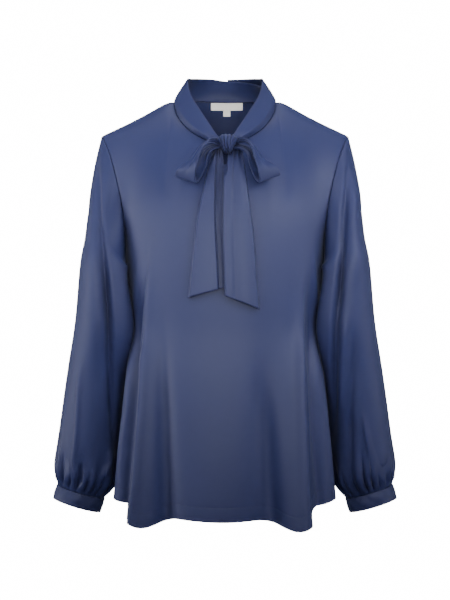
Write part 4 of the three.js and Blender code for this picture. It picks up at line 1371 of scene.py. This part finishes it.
class BLOUSE_OT_label(bpy.types.Operator):
    """Makes the bare label and its size tab at the back of the neck"""

    bl_idname = "blouse.label"
    bl_label = "Label and size tab"

    def execute(self, context):
        tree = surface(bpy.data.objects[cloth_name("back")])
        across, high_points = FINE["label"]
        u = np.linspace(0.5, -0.5, across)[None]
        v = np.linspace(0, 1, high_points)[:, None]
        # The lower edge of each stands a little off the cloth
        off = 1.1 + 0.5 * (1 - v) ** 2 + 0.15 * np.cos(9 * u) * (1 - v)
        for node, (x, wide, top, high) in RIBBONS.items():
            grid = laid_on(tree, x + wide * u, top - high + high * v, off, INSIDE)
            behind = (0, 300, 0)
            strip_of_cloth(node, grid, LABEL_THICK, behind, slot="label")
        return {"FINISHED"}


STITCH_ROWS = 45  # rows of a panel, from its hem up, among which the stitch line lies
STITCH_OUT = 0.12  # how far the stitches' middle stands out of the cloth


def stitch_tree():
    """Geometry Nodes that lay short stitches along lines."""
    tree = bpy.data.node_groups.new("stitch line", "GeometryNodeTree")
    face = tree.interface
    face.new_socket("Geometry", in_out="INPUT", socket_type="NodeSocketGeometry")
    for name in ("Stitch Length", "Gap", "Thread"):
        face.new_socket(name, in_out="INPUT", socket_type="NodeSocketFloat")
    face.new_socket("Material", in_out="INPUT", socket_type="NodeSocketMaterial")
    face.new_socket("Geometry", in_out="OUTPUT", socket_type="NodeSocketGeometry")
    given = add(tree, "NodeGroupInput", (-1000, 0))
    result = add(tree, "NodeGroupOutput", (900, 0))
    curve = add(tree, "GeometryNodeMeshToCurve", (-750, 200))
    pitch = add(tree, "ShaderNodeMath", (-750, -50), operation="ADD")
    points = add(tree, "GeometryNodeCurveToPoints", (-450, 200), mode="LENGTH")
    round_bead = {"Segments": 6, "Rings": 4, "Radius": 0.5}
    bead = add(tree, "GeometryNodeMeshUVSphere", (-450, -200), round_bead)
    size = add(tree, "ShaderNodeCombineXYZ", (-450, -400))
    spread = add(tree, "GeometryNodeInstanceOnPoints", (-50, 100))
    real = add(tree, "GeometryNodeRealizeInstances", (250, 100))
    smooth = add(tree, "GeometryNodeSetShadeSmooth", (450, 100))
    paint = add(tree, "GeometryNodeSetMaterial", (650, 100))
    join(
        tree,
        (given, "Geometry", curve, "Mesh"),
        (given, "Stitch Length", pitch, 0),
        (given, "Gap", pitch, 1),
        (curve, "Curve", points, "Curve"),
        (pitch, "Value", points, "Length"),
        (given, "Thread", size, "X"),
        (given, "Thread", size, "Y"),
        (given, "Stitch Length", size, "Z"),
        (points, "Points", spread, "Points"),
        (points, "Rotation", spread, "Rotation"),
        (bead, "Mesh", spread, "Instance"),
        (size, "Vector", spread, "Scale"),
        (spread, "Instances", real, "Geometry"),
        (real, "Geometry", smooth, "Geometry"),
        (smooth, "Geometry", paint, "Geometry"),
        (given, "Material", paint, "Material"),
        (paint, "Geometry", result, "Geometry"),
    )
    return tree


class BLOUSE_OT_stitches(bpy.types.Operator):
    """Sews the stitch line round the hem"""

    bl_idname = "blouse.stitches"
    bl_label = "Hem stitches"

    def execute(self, context):
        hem = context.scene.blouse_hem
        points, edges = [], []
        for panel, sign in (("front", 1), ("back", -1)):
            grid, s, _ = MADE[panel]
            above = grid[..., 2] - hem_z(panel_angle(panel, s))
            out = facing(grid) * sign
            start = len(points)
            for c in range(2, grid.shape[1] - 2):
                low = above[:STITCH_ROWS, c]
                place = [np.interp(hem.deep / MM, low, grid[:STITCH_ROWS, c, i]) for i in range(3)]
                row = int(np.argmin(np.abs(low - hem.deep / MM)))
                points.append(np.array(place) + out[row, c] * STITCH_OUT)
            edges += [(i, i + 1) for i in range(start, len(points) - 1)]
        mesh = bpy.data.meshes.new("hem_line")
        mesh.from_pydata((np.array(points) * MM).tolist(), edges, [])
        line = bpy.data.objects.new("hem_line", mesh)
        context.scene.collection.objects.link(line)
        modifier = line.modifiers.new("Stitches", "NODES")
        modifier.node_group = stitch_tree()
        values = {"Stitch Length": hem.stitch, "Gap": hem.gap, "Thread": hem.thread, "Material": satin()}
        for item in modifier.node_group.interface.items_tree:
            if item.in_out == "INPUT" and item.name in values:
                modifier[item.identifier] = values[item.name]
        context.view_layer.update()
        made = bpy.data.meshes.new_from_object(line.evaluated_get(context.evaluated_depsgraph_get()))
        bpy.data.objects.remove(line)
        if not made.polygons:
            raise RuntimeError("the hem has no stitches")
        made.name = "hem_stitches"
        obj = bpy.data.objects.new("hem_stitches", made)
        context.scene.collection.objects.link(obj)
        if not made.materials:
            made.materials.append(satin())
        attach(obj, "root")
        return {"FINISHED"}


# The backdrop, in metres: half its width, where its floor starts and turns up, how round that turn is, and
# how high it reaches
BACKDROP = {"aside": 6.0, "front": -4.0, "back": 4.0, "turn": 0.8, "top": 4.0}


class BLOUSE_OT_stage(bpy.types.Operator):
    """Makes the white backdrop, the lights and the camera"""

    bl_idname = "blouse.stage"
    bl_label = "Stage, lights and camera"

    def execute(self, context):
        stage = context.scene.blouse_stage
        floor = CAD_BOUNDS[0][2] - stage.floor
        aside, front, back, turn, top = BACKDROP.values()
        quarter = np.linspace(0, math.pi / 2, 13)
        bend = [(back + turn * math.sin(a), floor + turn * (1 - math.cos(a))) for a in quarter]
        outline = [(front, floor), *bend, (back + turn, top)]
        points = [(x, y, z) for y, z in outline for x in (-aside, aside)]
        faces = [(2 * i, 2 * i + 1, 2 * i + 3, 2 * i + 2) for i in range(len(outline) - 1)]
        mesh = bpy.data.meshes.new("backdrop")
        mesh.from_pydata(points, [], faces)
        paper = bpy.data.objects.new("backdrop", mesh)
        mesh.materials.append(white_stage())
        context.scene.collection.objects.link(paper)
        paper.visible_diffuse = False
        paper.visible_glossy = False
        paper.visible_shadow = False

        for name, turn, lift, away, aim, size, spread, power in LAMPS:
            light = bpy.data.lights.new(name, "AREA")
            light.shape = "RECTANGLE"
            light.size, light.size_y = size
            light.spread = math.radians(spread)
            light.energy = power * stage.lamps
            obj = bpy.data.objects.new(name, light)
            turn, lift = math.radians(turn), math.radians(lift)
            way = Vector((math.sin(turn) * math.cos(lift), -math.cos(turn) * math.cos(lift), math.sin(lift)))
            obj.location = Vector(aim) + way * away
            obj.rotation_euler = (-way).to_track_quat("-Z", "Y").to_euler()
            obj.visible_camera = False
            context.scene.collection.objects.link(obj)
        world = bpy.data.worlds.new("sky")
        world.use_nodes = True
        sky = world.node_tree.nodes["Background"]
        sky.inputs["Color"].default_value = (0.86, 0.91, 1.0, 1)
        sky.inputs["Strength"].default_value = stage.sky
        context.scene.world = world

        camera = bpy.data.cameras.new("camera")
        camera.sensor_fit = "AUTO"
        camera.sensor_width = SENSOR
        camera.lens = SENSOR * PHOTO_DISTANCE / PHOTO_TALL
        obj = bpy.data.objects.new("camera", camera)
        obj.location = (0, -PHOTO_DISTANCE * MM, PHOTO_HEIGHT * MM)
        obj.rotation_euler = (math.radians(90), 0, 0)
        context.scene.collection.objects.link(obj)
        context.scene.camera = obj
        return {"FINISHED"}


class BLOUSE_PT_panel(bpy.types.Panel):
    """The blouse's settings and pieces"""

    bl_idname = "BLOUSE_PT_panel"
    bl_label = "Tie-neck blouse"
    bl_space_type = "VIEW_3D"
    bl_region_type = "UI"
    bl_category = "Blouse"

    def draw(self, context):
        layout = self.layout
        for name, group in (("Cloth", "blouse_cloth"), ("Hem", "blouse_hem"), ("Stage", "blouse_stage")):
            box = layout.box()
            box.label(text=name)
            settings = getattr(context.scene, group)
            for key in settings.bl_rna.properties.keys():
                if key not in ("rna_type", "name"):
                    box.prop(settings, key)
        for operator in STEPS:
            layout.operator(operator.bl_idname)


STEPS = (
    BLOUSE_OT_body,
    BLOUSE_OT_sleeves,
    BLOUSE_OT_cuffs,
    BLOUSE_OT_collar,
    BLOUSE_OT_bow,
    BLOUSE_OT_label,
    BLOUSE_OT_stitches,
    BLOUSE_OT_stage,
)
GROUPS = {"blouse_cloth": BlouseCloth, "blouse_hem": BlouseHem, "blouse_stage": BlouseStage}


def register():
    for cls in (*GROUPS.values(), *STEPS, BLOUSE_PT_panel):
        bpy.utils.register_class(cls)
    for name, cls in GROUPS.items():
        setattr(bpy.types.Scene, name, PointerProperty(type=cls))


def unregister():
    for name in GROUPS:
        delattr(bpy.types.Scene, name)
    for cls in reversed((*GROUPS.values(), *STEPS, BLOUSE_PT_panel)):
        bpy.utils.unregister_class(cls)


def main():
    register()
    bpy.ops.blouse.body()
    bpy.ops.blouse.sleeves()
    bpy.ops.blouse.cuffs()
    bpy.ops.blouse.collar()
    bpy.ops.blouse.bow()
    bpy.ops.blouse.label()
    bpy.ops.blouse.stitches()
    bpy.ops.blouse.stage()


if __name__ == "__main__":
    main()
